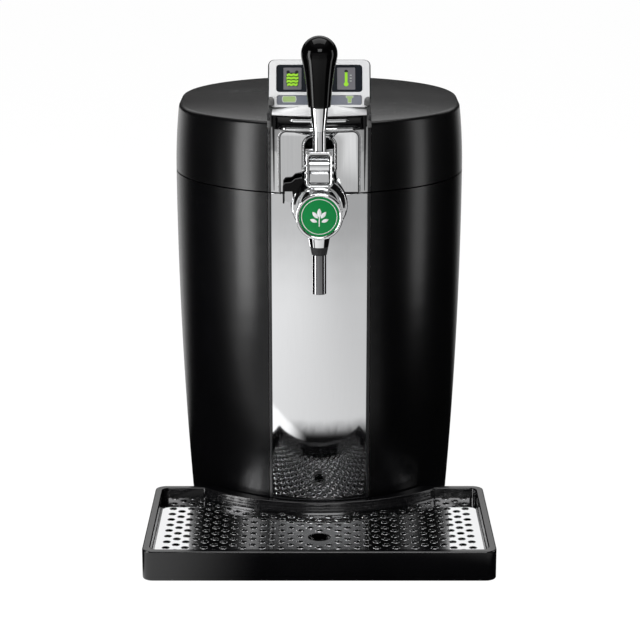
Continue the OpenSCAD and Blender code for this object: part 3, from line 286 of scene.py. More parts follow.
floor_mesh = bpy.data.meshes.new("floor")
corners = [(-FLOOR_HALF, -FLOOR_HALF, 0), (FLOOR_HALF, -FLOOR_HALF, 0), (FLOOR_HALF, FLOOR_HALF, 0),
           (-FLOOR_HALF, FLOOR_HALF, 0)]
floor_mesh.from_pydata(corners, [], [(0, 1, 2, 3)])
floor = stand("floor", floor_mesh)
floor_material = bpy.data.materials.new("floor_paper")
floor_material.use_nodes = True
paper = floor_material.node_tree
paper.nodes.clear()
f_path = paper.nodes.new("ShaderNodeLightPath")
spot_x, spot_y = axes(paper, "Object")[:2]
ahead = calc(paper, "SUBTRACT", AXIS_Y, spot_y)
aside = calc(paper, "ABSOLUTE", spot_x)
bearing = calc(paper, "ARCTAN2", aside, ahead)
away = calc(paper, "SQRT", calc(paper, "ADD", times(paper, ahead, ahead), times(paper, aside, aside)))
wedge = ease(paper, bearing, PAPER_ANGLE - PAPER_ANGLE_SOFT, PAPER_ANGLE + PAPER_ANGLE_SOFT, 1.0, 0.0)
beyond = ease(paper, away, PAPER_NEAR - PAPER_SOFT, PAPER_NEAR + PAPER_SOFT, 0.0, 1.0)
fade = ease(paper, away, *PAPER_FADE, PAPER_WHITE, PAPER_FAR_WHITE)
slant = ease(paper, spot_x, *PAPER_SLANT)
sheet = times(paper, times(paper, wedge, beyond), times(paper, fade, slant))
turned_right = ease(paper, spot_x, *REAR_TURN)
behind = ease(paper, calc(paper, "SUBTRACT", bearing, turned_right), *REAR_BEARING, TABLE_DARK, TABLE_REAR)
card_across = ease(paper, spot_x, *CARD_ACROSS, CARD_GLOW, 0.0)
card_deep = times(paper, ease(paper, ahead, *CARD_NEAR, 0.0, 1.0), ease(paper, ahead, *CARD_FAR, 1.0, 0.0))
card = times(paper, card_across, card_deep)
glow = calc(paper, "MAXIMUM", card, calc(paper, "MAXIMUM", sheet, behind))
f_glow = chain(paper, "ShaderNodeEmission", {"Strength": glow})
f_matt = chain(paper, "ShaderNodeBsdfDiffuse", {"Color": (FLOOR_GREY, FLOOR_GREY, FLOOR_GREY, 1.0)})
f_white = chain(paper, "ShaderNodeEmission", {"Strength": PAGE_WHITE})
f_mirror = chain(paper, "ShaderNodeMixShader", {0: f_path.outputs["Is Glossy Ray"], 1: f_matt, 2: f_glow})
f_share = times(paper, f_path.outputs["Is Camera Ray"], FLOOR_WHITE_SHARE)
f_view = chain(paper, "ShaderNodeMixShader", {0: f_share, 1: f_mirror, 2: f_white})
paper.links.new(f_view, paper.nodes.new("ShaderNodeOutputMaterial").inputs["Surface"])
floor_mesh.materials.append(floor_material)
print("floor", FLOOR_HALF * 2, "m wide")

# %% [markdown]
# ## Surface effects used by several materials
#
# Moulded plastic is never perfectly smooth: the tool leaves a fine grain, and handling leaves faint
# patches that are a little shinier. Rolled or plated metal has long faint waves and fine hairs. Each
# effect is a node group with named sockets, placed in the materials with their own values.

# %% Effect groups
def new_group(name, inputs, outputs):
    """A shader node group with float inputs (name, default) and float outputs."""
    group = bpy.data.node_groups.new(name, "ShaderNodeTree")
    for label, value in inputs:
        socket = group.interface.new_socket(label, in_out="INPUT", socket_type="NodeSocketFloat")
        socket.default_value = value
    for label in outputs:
        group.interface.new_socket(label, in_out="OUTPUT", socket_type="NodeSocketFloat")
    return group, group.nodes.new("NodeGroupInput"), group.nodes.new("NodeGroupOutput")


def noise_at(tree, scale, detail, stretch=(1.0, 1.0, 1.0)):
    """Noise on Object coordinates, stretched along the axes; scale is a socket."""
    place = tree.nodes.new("ShaderNodeTexCoord").outputs["Object"]
    mapped = chain(tree, "ShaderNodeMapping", {"Vector": place, "Scale": stretch})
    return chain(tree, "ShaderNodeTexNoise", {"Vector": mapped, "Scale": scale, "Detail": detail})


GRAIN, g_in, g_out = new_group(
    "mould_grain", [("Grain Scale", 1800.0), ("Patch Scale", 14.0), ("Roughness", 0.4), ("Spread", 0.08)],
    ["Height", "Roughness", "Patch"])
grain = noise_at(GRAIN, g_in.outputs["Grain Scale"], 3.0)
patch = noise_at(GRAIN, g_in.outputs["Patch Scale"], 4.0)
swing = times(GRAIN, calc(GRAIN, "SUBTRACT", patch, 0.5), g_in.outputs["Spread"])
fine = times(GRAIN, calc(GRAIN, "SUBTRACT", grain, 0.5), 0.1)
level = calc(GRAIN, "ADD", calc(GRAIN, "ADD", swing, fine), g_in.outputs["Roughness"])
GRAIN.links.new(grain, g_out.inputs["Height"])
GRAIN.links.new(level, g_out.inputs["Roughness"])
GRAIN.links.new(patch, g_out.inputs["Patch"])

BRUSH, b_in, b_out = new_group(
    "rolled_waves", [("Wave Scale", 9.0), ("Hair Scale", 900.0), ("Roughness", 0.06), ("Spread", 0.03)],
    ["Roughness", "Hair"])
wave = noise_at(BRUSH, b_in.outputs["Wave Scale"], 1.0, (1.0, 1.0, 0.35))
hair = noise_at(BRUSH, b_in.outputs["Hair Scale"], 2.0, (1.0, 1.0, 0.02))
hair_swing = times(BRUSH, calc(BRUSH, "SUBTRACT", hair, 0.5), b_in.outputs["Spread"])
wave_swing = times(BRUSH, calc(BRUSH, "SUBTRACT", wave, 0.5), b_in.outputs["Spread"])
both = calc(BRUSH, "ADD", hair_swing, wave_swing)
BRUSH.links.new(calc(BRUSH, "ADD", both, b_in.outputs["Roughness"]), b_out.inputs["Roughness"])
BRUSH.links.new(hair, b_out.inputs["Hair"])
print("groups:", GRAIN.name, BRUSH.name)

# %% [markdown]
# ## Materials
#
# Two recipes cover most of the object. A moulded plastic takes a colour that drifts slightly
# between two tones with the patches, a roughness from the grain group and a very low bump. A metal
# takes its tint and a roughness with rolling waves. What is constant over a surface, such as the
# specular level or the coat, is set on the shader's own sockets.

# %% Material recipes
MATERIALS = {}
PREVIEW_GREY = (0.3, 0.3, 0.32, 1.0)  # only for Blender's plain solid display
BUMP, COAT_ROUGHNESS = 0.5, 0.05


def start_material(name):
    """A new material in MATERIALS; returns its node tree and its Principled shader."""
    material = MATERIALS[name] = bpy.data.materials.new(name)
    material.use_nodes = True
    material.diffuse_color = PREVIEW_GREY
    return material.node_tree, material.node_tree.nodes["Principled BSDF"]


def place_group(tree, group, values):
    """The outputs of a group node with its named inputs set."""
    return chain(tree, "ShaderNodeGroup", values, node_tree=group).node.outputs


def tone(tree, factor, dark, light):
    """A colour that runs from dark to light over the middle part of a factor."""
    ramp = tree.nodes.new("ShaderNodeValToRGB")
    for end, position, colour in zip(ramp.color_ramp.elements, (0.3, 0.7), (dark, light)):
        end.position = position
        end.color = (*colour, 1.0)
    tree.links.new(factor, ramp.inputs["Fac"])
    return ramp.outputs["Color"]


def moulded(name, dark, light, roughness, spread=0.08, grain=1800.0, depth=0.00002, patches=14.0,
            specular=0.5, coat=0.0):
    """Moulded plastic: two close tones, patches, and a grain whose depth is in metres."""
    tree, shader = start_material(name)
    effect = place_group(tree, GRAIN, {"Grain Scale": grain, "Patch Scale": patches,
                                       "Roughness": roughness, "Spread": spread})
    tree.links.new(tone(tree, effect["Patch"], dark, light), shader.inputs["Base Color"])
    tree.links.new(effect["Roughness"], shader.inputs["Roughness"])
    shader.inputs["Specular IOR Level"].default_value = specular
    shader.inputs["Coat Weight"].default_value = coat
    shader.inputs["Coat Roughness"].default_value = COAT_ROUGHNESS
    bump = chain(tree, "ShaderNodeBump", {"Strength": BUMP, "Distance": depth, "Height": effect["Height"]})
    tree.links.new(bump, shader.inputs["Normal"])


def metal(name, dark, light, roughness, spread=0.02, waves=9.0):
    """Plated or rolled metal: a tint that drifts along fine hairs, and long faint waves."""
    tree, shader = start_material(name)
    effect = place_group(tree, BRUSH, {"Wave Scale": waves, "Roughness": roughness, "Spread": spread})
    tree.links.new(tone(tree, effect["Hair"], dark, light), shader.inputs["Base Color"])
    tree.links.new(effect["Roughness"], shader.inputs["Roughness"])
    shader.inputs["Metallic"].default_value = 1.0


print("recipes: moulded, metal")

# %% Materials of this object
moulded("black_satin", (0.0008, 0.0008, 0.001), (0.0014, 0.0014, 0.0018), 0.25, spread=0.05, specular=0.28)
moulded("black_lid", (0.0016, 0.0016, 0.0018), (0.0026, 0.0026, 0.0028), 0.25, specular=0.27, grain=1400.0,
        depth=0.00004)
moulded("black_gloss", (0.002, 0.002, 0.0024), (0.003, 0.003, 0.0035), 0.12, spread=0.03, depth=0.000002,
        specular=0.35)
moulded("grip_black", (0.001, 0.001, 0.0012), (0.0016, 0.0014, 0.0014), 0.07, spread=0.02, depth=0.000001,
        specular=0.16)
moulded("tray_black", (0.0014, 0.0014, 0.0018), (0.0022, 0.0022, 0.0027), 0.15, spread=0.04, depth=0.000002,
        specular=0.5)
moulded("ear_satin", (0.06, 0.06, 0.06), (0.08, 0.08, 0.08), 0.35, spread=0.05)
metal("dull_chrome", (0.42, 0.42, 0.425), (0.5, 0.5, 0.505), 0.14, spread=0.02)
# A darker copy of the steel for the nozzle: painted shade that stands for the dark reflection down the tube's
# middle.
metal("steel_painted_dark", (0.2, 0.2, 0.205), (0.24, 0.24, 0.245), 0.1, spread=0.02)
moulded("icon_lime", (0.3, 0.66, 0.03), (0.36, 0.74, 0.045), 0.4, specular=0.2)
moulded("icon_leaf", (0.3, 0.44, 0.16), (0.36, 0.5, 0.2), 0.4, specular=0.2)
moulded("icon_pale", (0.5, 0.53, 0.5), (0.58, 0.6, 0.56), 0.4, specular=0.2)
moulded("icon_dark", (0.008, 0.01, 0.01), (0.012, 0.014, 0.014), 0.4, specular=0.2)
moulded("black_trim", (0.008, 0.008, 0.009), (0.012, 0.012, 0.013), 0.24, specular=0.45)
metal("polished_steel", (0.775, 0.78, 0.79), (0.785, 0.79, 0.8), 0.05, spread=0.003)
metal("chrome", (0.8, 0.805, 0.815), (0.84, 0.845, 0.85), 0.035, spread=0.015)
moulded("silver_paint", (0.7, 0.705, 0.715), (0.74, 0.745, 0.75), 0.3, spread=0.04, depth=0.000004,
        specular=0.5, coat=0.2)
metal("steel", (0.55, 0.55, 0.56), (0.66, 0.66, 0.67), 0.22, spread=0.12, waves=60.0)
metal("aluminium", (0.62, 0.63, 0.65), (0.72, 0.73, 0.74), 0.34, spread=0.12, waves=30.0)
moulded("foam", (0.72, 0.68, 0.58), (0.84, 0.8, 0.7), 0.85, grain=420.0, depth=0.0004, patches=30.0)
moulded("white_plastic", (0.62, 0.63, 0.64), (0.7, 0.71, 0.72), 0.4)
moulded("rubber", (0.012, 0.012, 0.013), (0.02, 0.02, 0.021), 0.62, grain=900.0, depth=0.00005, specular=0.35)
moulded("glass_dark", (0.006, 0.0085, 0.013), (0.008, 0.011, 0.016), 0.08, spread=0.02, depth=0.000001,
        coat=0.3)
moulded("lcd", (0.13, 0.128, 0.142), (0.165, 0.162, 0.176), 0.22, spread=0.04, depth=0.000002, patches=40.0)
moulded("key_grey", (0.14, 0.155, 0.19), (0.19, 0.2, 0.235), 0.3, spread=0.05, patches=50.0)
moulded("badge_green", (0.0, 0.17, 0.035), (0.0, 0.2, 0.044), 0.2, spread=0.03, depth=0.000002, specular=0.3)
moulded("board", (0.01, 0.08, 0.03), (0.02, 0.13, 0.045), 0.4, patches=90.0)
moulded("ceramic", (0.78, 0.78, 0.76), (0.86, 0.86, 0.84), 0.35)
moulded("red_plastic", (0.3, 0.008, 0.008), (0.38, 0.012, 0.012), 0.25)

slot_of = {part["node"]: part["material_slot"] for part in frame["record"]["subparts"]}
for node_name, node_object in frame["nodes"].items():
    node_object.data.materials.clear()
    node_object.data.materials.append(MATERIALS[slot_of[node_name]])
print("materials:", len(MATERIALS), "nodes dressed:", len(slot_of))

# %% [markdown]
# ## Mesh helpers
#
# A curved piece is a grid of points worked out with numpy: one row for each step along the form and
# one column for each step across it. Neighbouring rows are joined by four-sided faces.
#
# Some nodes already have the right shape and only lack softened edges. For those a copy of the
# node's mesh is welded, its flat faces are joined, and a narrow bevel catches the light along its
# edges, as it does on the real moulding.

# %% Mesh helpers
SMOOTH_ANGLE = math.radians(32)
FLAT_ANGLE = math.radians(0.4)


def link_piece(name, mesh, slot, body, nodes=(), look=None):
    """Makes a visible piece of a mesh: its material, its body and the nodes it stands for.

    slot is the finish it takes from the record; look names a variant of that finish.
    """
    piece = stand(name, mesh)
    mesh.materials.clear()
    mesh.materials.append(MATERIALS[look or slot])
    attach(piece, body)
    if nodes:
        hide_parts(*nodes)
    return piece


def soften(piece, width):
    """A narrow rounded bevel along every edge that is sharper than the smooth angle."""
    bevel = piece.modifiers.new("soft_edges", "BEVEL")
    bevel.width = width
    bevel.segments = 2
    bevel.limit_method = "ANGLE"
    bevel.angle_limit = SMOOTH_ANGLE
    bevel.use_clamp_overlap = True
    bevel.harden_normals = False


def shade(mesh, angle=SMOOTH_ANGLE):
    """Smooth shading with the edges sharper than the angle kept crisp."""
    mesh.shade_smooth()
    mesh.set_sharp_from_angle(angle=angle)


def node_body(node):
    """Name of the body that a CAD node belongs to."""
    return frame["nodes"][node]["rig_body"]


def dress(node, bevel, look=None):
    """A welded copy of a CAD node's mesh with softened edges, in the node's place."""
    mesh = frame["nodes"][node].data.copy()
    mesh.name = node + "_look"
    work = bmesh.new()
    work.from_mesh(mesh)
    bmesh.ops.remove_doubles(work, verts=work.verts, dist=2e-6)
    bmesh.ops.dissolve_limit(work, angle_limit=FLAT_ANGLE, verts=work.verts, edges=work.edges)
    work.to_mesh(mesh)
    work.free()
    shade(mesh)
    soften(link_piece(node + "_look", mesh, slot_of[node], node_body(node), (node,), look), bevel)


print("smooth below %.0f degrees" % math.degrees(SMOOTH_ANGLE))

# %% [markdown]
# ## Pieces whose shape comes from the frame
#
# Most visible nodes only need softened edges. Each has the bevel of its real edge, in millimetres.

# %% Dressed nodes
DRESSED = {
    "base_shell": 0.6, "panel_frame": 0.6, "front_panel": 0.4, "rear_grille": 0.3, "power_inlet": 0.4,
    "switch_housing": 0.4, "switch_rocker": 0.4, "hinge_bracket": 0.4, "hinge_leaf": 0.4,
    "hinge_pin": 0.3, "lid_shell": 0.6, "lid_liner": 0.4, "lid_frame": 0.8, "lid_fascia": 0.5,
    "console_bezel": 1.0, "console_housing": 0.8, "console_visor": 0.6, "display_window": 0.25,
    "level_display": 0.2, "temperature_display": 0.2, "level_button": 0.3, "temperature_button": 0.3,
    "tap_body": 0.6, "nozzle_collar": 0.3, "nozzle_tube": 0.3, "lever_fork": 1.1,
    "lever_pin": 0.3, "lever_ferrule": 0.4, "drip_tray": 1.0, "drip_grille": 0.2,
}
# The nozzle takes the darker copy of the steel, painted shade for its dark reflection.
LOOKS = {"drip_tray": "tray_black", "nozzle_tube": "steel_painted_dark"}
for node_name, width in DRESSED.items():
    dress(node_name, width * MM, LOOKS.get(node_name))
print("dressed:", len(DRESSED))

# %% [markdown]
# ## Surfaces from formulas
#
# Two builders cover most small pieces. A turned piece is a profile carried round an axis, as on a
# lathe. A bar is an oval carried along a path. Two outlines, an arch and a rounded rectangle, serve
# several of them. Each works out whole arrays of points at once, in metres unless it says otherwise.

# %% Builders
SIDES = {"left": -1, "right": 1}


def coords(*columns):
    """Coordinates side by side; each is an array or one number for all the points."""
    return np.stack(np.broadcast_arrays(*columns), axis=-1)


def whole_turn(steps):
    """Angles once round."""
    return np.linspace(0.0, 2 * np.pi, steps, endpoint=False)


def arc(x, up, radius, angle):
    """Points of a circle about (x, up)."""
    return coords(x + radius * np.cos(angle), up + radius * np.sin(angle))


def outward_mesh(name, points, faces):
    """A merged mesh whose faces look outwards."""
    mesh = bpy.data.meshes.new(name)
    mesh.from_pydata(points.reshape(-1, 3), [], faces)
    work = bmesh.new()
    work.from_mesh(mesh)
    bmesh.ops.remove_doubles(work, verts=work.verts, dist=1e-6)
    bmesh.ops.dissolve_degenerate(work, edges=work.edges, dist=1e-7)
    bmesh.ops.recalc_face_normals(work, faces=work.faces)
    work.to_mesh(mesh)
    work.free()
    return mesh


def grid_mesh(name, points, wrap_rows=False, wrap_columns=False, cap_ends=False):
    """Joins a (rows, columns, 3) array into four-sided faces."""
    rows, columns = points.shape[:2]
    index = np.arange(rows * columns).reshape(rows, columns)
    if wrap_rows:
        index = np.concatenate([index, index[:1]], axis=0)
    if wrap_columns:
        index = np.concatenate([index, index[:, :1]], axis=1)
    quads = np.stack([index[:-1, :-1], index[:-1, 1:], index[1:, 1:], index[1:, :-1]], axis=-1)
    faces = quads.reshape(-1, 4).tolist()
    if cap_ends:
        faces += [index[0, :columns][::-1].tolist(), index[-1, :columns].tolist()]
    return outward_mesh(name, points, faces)


def turned(name, profile, centre, slot, body, nodes=(), axis="Z", steps=96, look=None):
    """A lathe piece: each (radius, distance) of the profile becomes a ring about the axis.

    Ring point = centre + distance along the axis + radius times (cos, sin) across it.
    """
    profile = np.array(profile) * MM
    angle = whole_turn(steps)
    radius, distance = profile[:, :1], profile[:, 1:]
    across, over = radius * np.cos(angle), radius * np.sin(angle)
    points = coords(across, over, distance) if axis == "Z" else coords(across, -distance, over)
    mesh = grid_mesh(name, points + np.array(centre), wrap_rows=radius[0] > 0, wrap_columns=True)
    shade(mesh)
    link_piece(name, mesh, slot, body, nodes, look)


def bar(name, path, half_wide, half_deep, slot, body, closed=False, sides=16, look=None):
    """An oval, its half sizes in millimetres, carried along a path that lies mostly across the front.

    Ring point = path point + half_wide * cos * (in-plane normal) + half_deep * sin * (0, 1, 0).
    """
    step = np.roll(path, -1, 0) - np.roll(path, 1, 0) if closed else np.gradient(path, axis=0)
    step[:, 1] = 0.0
    step /= np.linalg.norm(step, axis=1, keepdims=True)
    normal = coords(step[:, 2], 0.0, -step[:, 0])
    angle = whole_turn(sides)
    wide, deep = (np.broadcast_to(half * MM, len(path))[:, None, None] for half in (half_wide, half_deep))
    points = (path[:, None, :] + wide * np.cos(angle)[None, :, None] * normal[:, None, :]
              + deep * np.sin(angle)[None, :, None] * np.array([0.0, 1.0, 0.0]))
    mesh = grid_mesh(name, points, wrap_rows=closed, wrap_columns=True, cap_ends=not closed)
    shade(mesh, math.radians(60))
    link_piece(name, mesh, slot, body, look=look)


def arch(half, low, high, corner, steps=12):
    """Outline of an arch in x and z: up one side, round two corners, down the other (millimetres)."""
    turn = np.linspace(0.0, np.pi / 2, steps)
    left = coords(-half + corner - corner * np.cos(turn), high - corner + corner * np.sin(turn))
    up = coords(-half, np.linspace(low, high - corner, 30, endpoint=False))
    top = coords(np.linspace(-half + corner, 0.0, 20)[1:], high)
    side = np.concatenate([up, left, top])
    return np.concatenate([side, side[-2::-1] * np.array([-1.0, 1.0])]) * MM


def rounded(half, low, high, corner, steps=9):
    """Outline of a rounded rectangle, a quarter circle at each corner, in the sizes' own unit."""
    turn = np.linspace(0.0, np.pi / 2, steps)
    middles = [(half - corner, high - corner), (corner - half, high - corner),
               (corner - half, low + corner), (half - corner, low + corner)]
    return np.concatenate([arc(*middle, corner, turn + k * np.pi / 2) for k, middle in enumerate(middles)])


print("builders: turned, bar")

# %% [markdown]
# ## The lid's chrome fascia
#
# The fascia is a plated sheet that follows a circle about a point in front of the column's axis.
# Under the console it has a deep groove. A black lining in it is painted shade and dark reflection, and two
# bright chrome bars in it are painted reflections. Below that is a sunk flat field with a thin dark line
# round it and a rimmed slot for the lever.

# %% Fascia details
BAY_SHIFT = 23 * MM
PANEL_PROUD = 2 * MM
FIELD = (35.6, 325.0, 380.0, 6.0)     # half width, low, high and corner of the sunk field
SLOT = (14.3, 344.0, 375.3, 9.5)      # the same for the slot's rim
COVE_Z, COVE_R, COVE_OUT = 388.5 * MM, 8 * MM, 5 * MM   # middle, radius and offset of the round groove
COVE_HALF, COVE_LANDS = 41.3, (-8.4, 7.4)
# How far the black lining's flat lands stand in front of the chrome, and the lining's thickness; the lining
# is painted shade and dark reflection.
LAND_DEEP, SHADE_SHEET_T = 0.3 * MM, 0.25 * MM
# Half length, height, half thickness and how far each bright bar stands proud of the sheet. The bars are
# painted reflections: chrome strips where the groove shows bright reflections.
COVE_REFLECTIONS = {"cove_reflection_upper": (26.8, 390.0, 1.75, -1.2), "cove_reflection_lower": (34.0, 382.6, 1.45, 0.3)}
BAR_END = 0.12                        # share of a bar's half length over which it tapers off
SHADOW_X, SHADOW_Z, SHADOW_WIDE = 41.0, (396.0, 326.0), (1.7, 0.35)


def lid_radius(z):
    """Radius of the lid's side at a height: the seam's radius less the square of the height over 2R."""
    return SEAM_R - (z - SEAM_Z) ** 2 / (2 * LID_CURVE)


def fascia_y(x, z, proud=PANEL_PROUD):
    """Front of the fascia: a circle about a point BAY_SHIFT in front of the axis."""
    return AXIS_Y - BAY_SHIFT - np.sqrt((lid_radius(z) - BAY_SHIFT + proud) ** 2 - x ** 2)


def on_fascia(outline, proud):
    """Lays an outline of x and z on the fascia's front, standing proud by a distance."""
    x, z = outline[:, 0], outline[:, 1]
    return coords(x, fascia_y(x, z, PANEL_PROUD + proud), z)


lid_body = node_body("lid_fascia")
field_path = arch(*FIELD)
bar("field_line", on_fascia(field_path, 0.1 * MM), 0.55, 0.35, "black_gloss", lid_body)
outer_path = arch(FIELD[0] + 1.3, FIELD[1], FIELD[2] + 1.3, FIELD[3] + 1.3)
bar("field_edge", on_fascia(outer_path, 0.05 * MM), 0.45, 0.35, "chrome", lid_body, look="dull_chrome")

slot_path = arch(*SLOT)
FIELD_Y = float(fascia_y(FIELD[0] * MM, SEAM_Z, 0.0)) + 0.4 * MM
slot_rim = coords(slot_path[:, 0], FIELD_Y, slot_path[:, 1])
bar("slot_rim", slot_rim, 0.8, 0.9, "chrome", lid_body, look="dull_chrome")
slot_groove = slot_rim * np.array([1.09, 1.0, 1.0]) + np.array([0.0, 0.1 * MM, 1.3 * MM])
bar("slot_groove", slot_groove, 0.4, 0.35, "black_gloss", lid_body)


def cove_painted_shade():
    """Black lining of the groove, painted shade and dark reflection laid over the chrome: flat lands above
    and below a round hollow, along the fascia.

    Across it, the depth in front of the sheet is COVE_OUT - COVE_R cos(a) at height COVE_Z + COVE_R sin(a).
    """
    edge = math.acos((COVE_OUT - LAND_DEEP) / COVE_R)
    a = np.linspace(-edge, edge, 24)
    lands = COVE_Z + np.array(COVE_LANDS) * MM
    height = np.concatenate([lands[:1], COVE_Z + COVE_R * np.sin(a), lands[1:]])
    depth = np.concatenate([[LAND_DEEP], COVE_OUT - COVE_R * np.cos(a) + SHADE_SHEET_T, [LAND_DEEP]])
    x = np.linspace(-COVE_HALF, COVE_HALF, 97) * MM
    radius = lid_radius(COVE_Z) - BAY_SHIFT + PANEL_PROUD + depth[:, None]
    y = AXIS_Y - BAY_SHIFT - np.sqrt(radius ** 2 - x[None, :] ** 2)
    front = coords(x, y, height[:, None])
    back = front + np.array([0.0, SHADE_SHEET_T, 0.0])
    mesh = grid_mesh("cove_painted_shade", np.concatenate([front, back[::-1]]), wrap_rows=True)
    shade(mesh)
    link_piece("cove_painted_shade", mesh, "black_gloss", lid_body)


cove_painted_shade()
# The two bars, chrome strips that paint the groove's bright reflections.
for reflection_name, (half, height, thick, proud) in COVE_REFLECTIONS.items():
    run = np.linspace(-1.0, 1.0, 61)
    taper = np.clip((1.0 - np.abs(run)) / BAR_END, BAR_END, 1.0)
    bar_path = on_fascia(coords(run * half, height) * MM, proud * MM)
    bar(reflection_name, bar_path, thick * taper, 0.9 * taper, "chrome", lid_body)

# Dark lines beside the field: a wedge that narrows downwards, as far as the seam.
for side_name, side in SIDES.items():
    line = coords(side * SHADOW_X, np.linspace(*SHADOW_Z, 60)) * MM
    bar("fascia_shadow_" + side_name, on_fascia(line, 0.0), np.linspace(*SHADOW_WIDE, 60), 0.3,
        "black_gloss", lid_body, sides=8)
print("fascia pieces: 9")

# %% [markdown]
# ## The frame's ears
#
# On each side of the console the lid's frame ends in an ear that holds the console's lower corner.
# It is a stack of rounded rectangles. Four short tables give where its front, its rear, its inner
# and its outer side stand at each height, and its top's inner corner is a quarter of an ellipse.

# %% Ears
EAR_LOW, EAR_TOP = 384.0, 412.4       # heights of an ear's foot and top
EAR_FRONT = ([384.0, 390.5, 406.3, 409.0, 411.0, 412.4],
             [-134.3, -134.3, -147.1, -146.8, -145.2, -142.5])
EAR_REAR = ([384.0, 396.2, 396.4, 412.4], [-118.0, -118.0, -134.4, -134.4])
EAR_OUTER = ([384.0, 410.0, 412.4], [47.2, 45.5, 44.6])
EAR_INNER = ([384.0, 404.6, 406.0, 412.4], [42.9, 42.9, 40.0, 40.0])
EAR_CORNER = (407.0, 5.4, 2.7)        # where the inner corner starts, its height and its width
EAR_POWER = 0.4                       # 1 gives an ellipse and 0 a sharp rectangle


def ear(name, side):
    """Row point = middle + half size * sign(cos) |cos|^EAR_POWER, and the same with sin."""
    z = np.unique(np.concatenate([np.linspace(EAR_LOW, EAR_TOP, 41), EAR_REAR[0], EAR_FRONT[0]]))
    start, high, wide = EAR_CORNER
    rise = np.clip((z - start) / high, 0.0, 1.0)
    inner = np.interp(z, *EAR_INNER) + wide * (1.0 - np.sqrt(1.0 - rise ** 2))
    outer, front, rear = (np.interp(z, *table) for table in (EAR_OUTER, EAR_FRONT, EAR_REAR))
    a = whole_turn(32)
    across, along = (np.sign(f(a)) * np.abs(f(a)) ** EAR_POWER for f in (np.cos, np.sin))
    x = ((inner + outer)[:, None] + (outer - inner)[:, None] * across) / 2 * side
    y = ((front + rear)[:, None] + (rear - front)[:, None] * along) / 2 + AXIS_Y / MM
    mesh = grid_mesh(name, coords(x, y, z[:, None]) * MM, wrap_columns=True, cap_ends=True)
    shade(mesh)
    link_piece(name, mesh, "black_trim", lid_body, look="ear_satin")


for side_name, side in SIDES.items():
    ear("ear_" + side_name, side)
print("ears up to %.1f mm" % EAR_TOP)

# %% [markdown]
# ## Handle
#
# The grip is a gloss black pear: a ball at the top that narrows in one smooth sweep to a collar on
# the chrome ferrule. One cubic curve joins the collar to the ball with the ball's own slope.

# %% Grip
grip_low, grip_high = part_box("handle_grip")
BALL_R = (grip_high.x - grip_low.x) / 2 / MM
BALL_Z = grip_high.z / MM - BALL_R
GRIP_FOOT_R, GRIP_FOOT_H = 10.0, 0.9
GRIP_FOOT_SLOPE = 0.09
BALL_START = math.radians(-14)


def grip_profile(steps=40):
    """(radius, height) from the foot's middle up to the top pole; the sweep is a Hermite cubic."""
    low = grip_low.z / MM
    r1, z1 = BALL_R * math.cos(BALL_START), BALL_Z + BALL_R * math.sin(BALL_START)
    reach = z1 - low - GRIP_FOOT_H
    t = np.linspace(0.0, 1.0, steps)
    slope0, slope1 = GRIP_FOOT_SLOPE * reach, math.tan(-BALL_START) * reach
    sweep = ((2 * t**3 - 3 * t**2 + 1) * GRIP_FOOT_R + (t**3 - 2 * t**2 + t) * slope0
             + (-2 * t**3 + 3 * t**2) * r1 + (t**3 - t**2) * slope1)
    ball = np.linspace(BALL_START, np.pi / 2, steps)[1:]
    foot = [(0.0, low), (GRIP_FOOT_R - 0.7, low), (GRIP_FOOT_R - 0.2, low + 0.25)]
    body = coords(sweep, low + GRIP_FOOT_H + t * reach)
    return np.concatenate([foot, body, arc(0.0, BALL_Z, BALL_R, ball)])


grip_centre = ((grip_low.x + grip_high.x) / 2, (grip_low.y + grip_high.y) / 2, 0.0)
turned("handle_grip_look", grip_profile(), grip_centre, "black_gloss", node_body("handle_grip"),
       ("handle_grip",), look="grip_black")
print("ball radius %.1f mm" % BALL_R)

# %% [markdown]
# ## Badge, its bezel and the nozzle's collar
#
# The badge is a slightly domed green disc in a rounded chrome ring. On it a thin pale ring and a
# plain sprig of five leaves are raised a little.

# %% Badge
bezel_low, bezel_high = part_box("badge_bezel")
disc_low, disc_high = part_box("badge_disc")
BADGE_Z = (disc_low.z + disc_high.z) / 2
BADGE_R = (disc_high.x - disc_low.x) / 2 / MM
BADGE_Y = disc_low.y
DISC_T, DOME_H = 1.6, 0.7
BADGE_LINE_R = 15.6
badge_body = node_body("badge_disc")
badge_centre = (0.0, BADGE_Y, BADGE_Z)

share_out = np.linspace(1.0, 0.0, 25)
dome = coords(BADGE_R * share_out, -DOME_H * share_out ** 2)
disc_profile = np.concatenate([[(0.0, -DISC_T), (BADGE_R, -DISC_T)], dome])
turned("badge_disc_look", disc_profile, badge_centre, "badge_green", badge_body, ("badge_disc",), axis="Y")


def dome_y(x, z):
    """Front of the domed disc, falling back with the square of the radius."""
    share = (x ** 2 + z ** 2) / (BADGE_R * MM) ** 2
    return BADGE_Y + DOME_H * share * MM


def on_badge(x, z, lift):
    """Points on the dome, lifted off it, from x and z in millimetres."""
    x, z = np.asarray(x) * MM, np.asarray(z) * MM
    return coords(x, dome_y(x, z) - lift * MM, BADGE_Z + z)


badge_line = on_badge(*arc(0.0, 0.0, BADGE_LINE_R, whole_turn(96)).T, 0.0)
bar("badge_ring", badge_line, 0.28, 0.12, "silver_paint", badge_body, closed=True, sides=8)


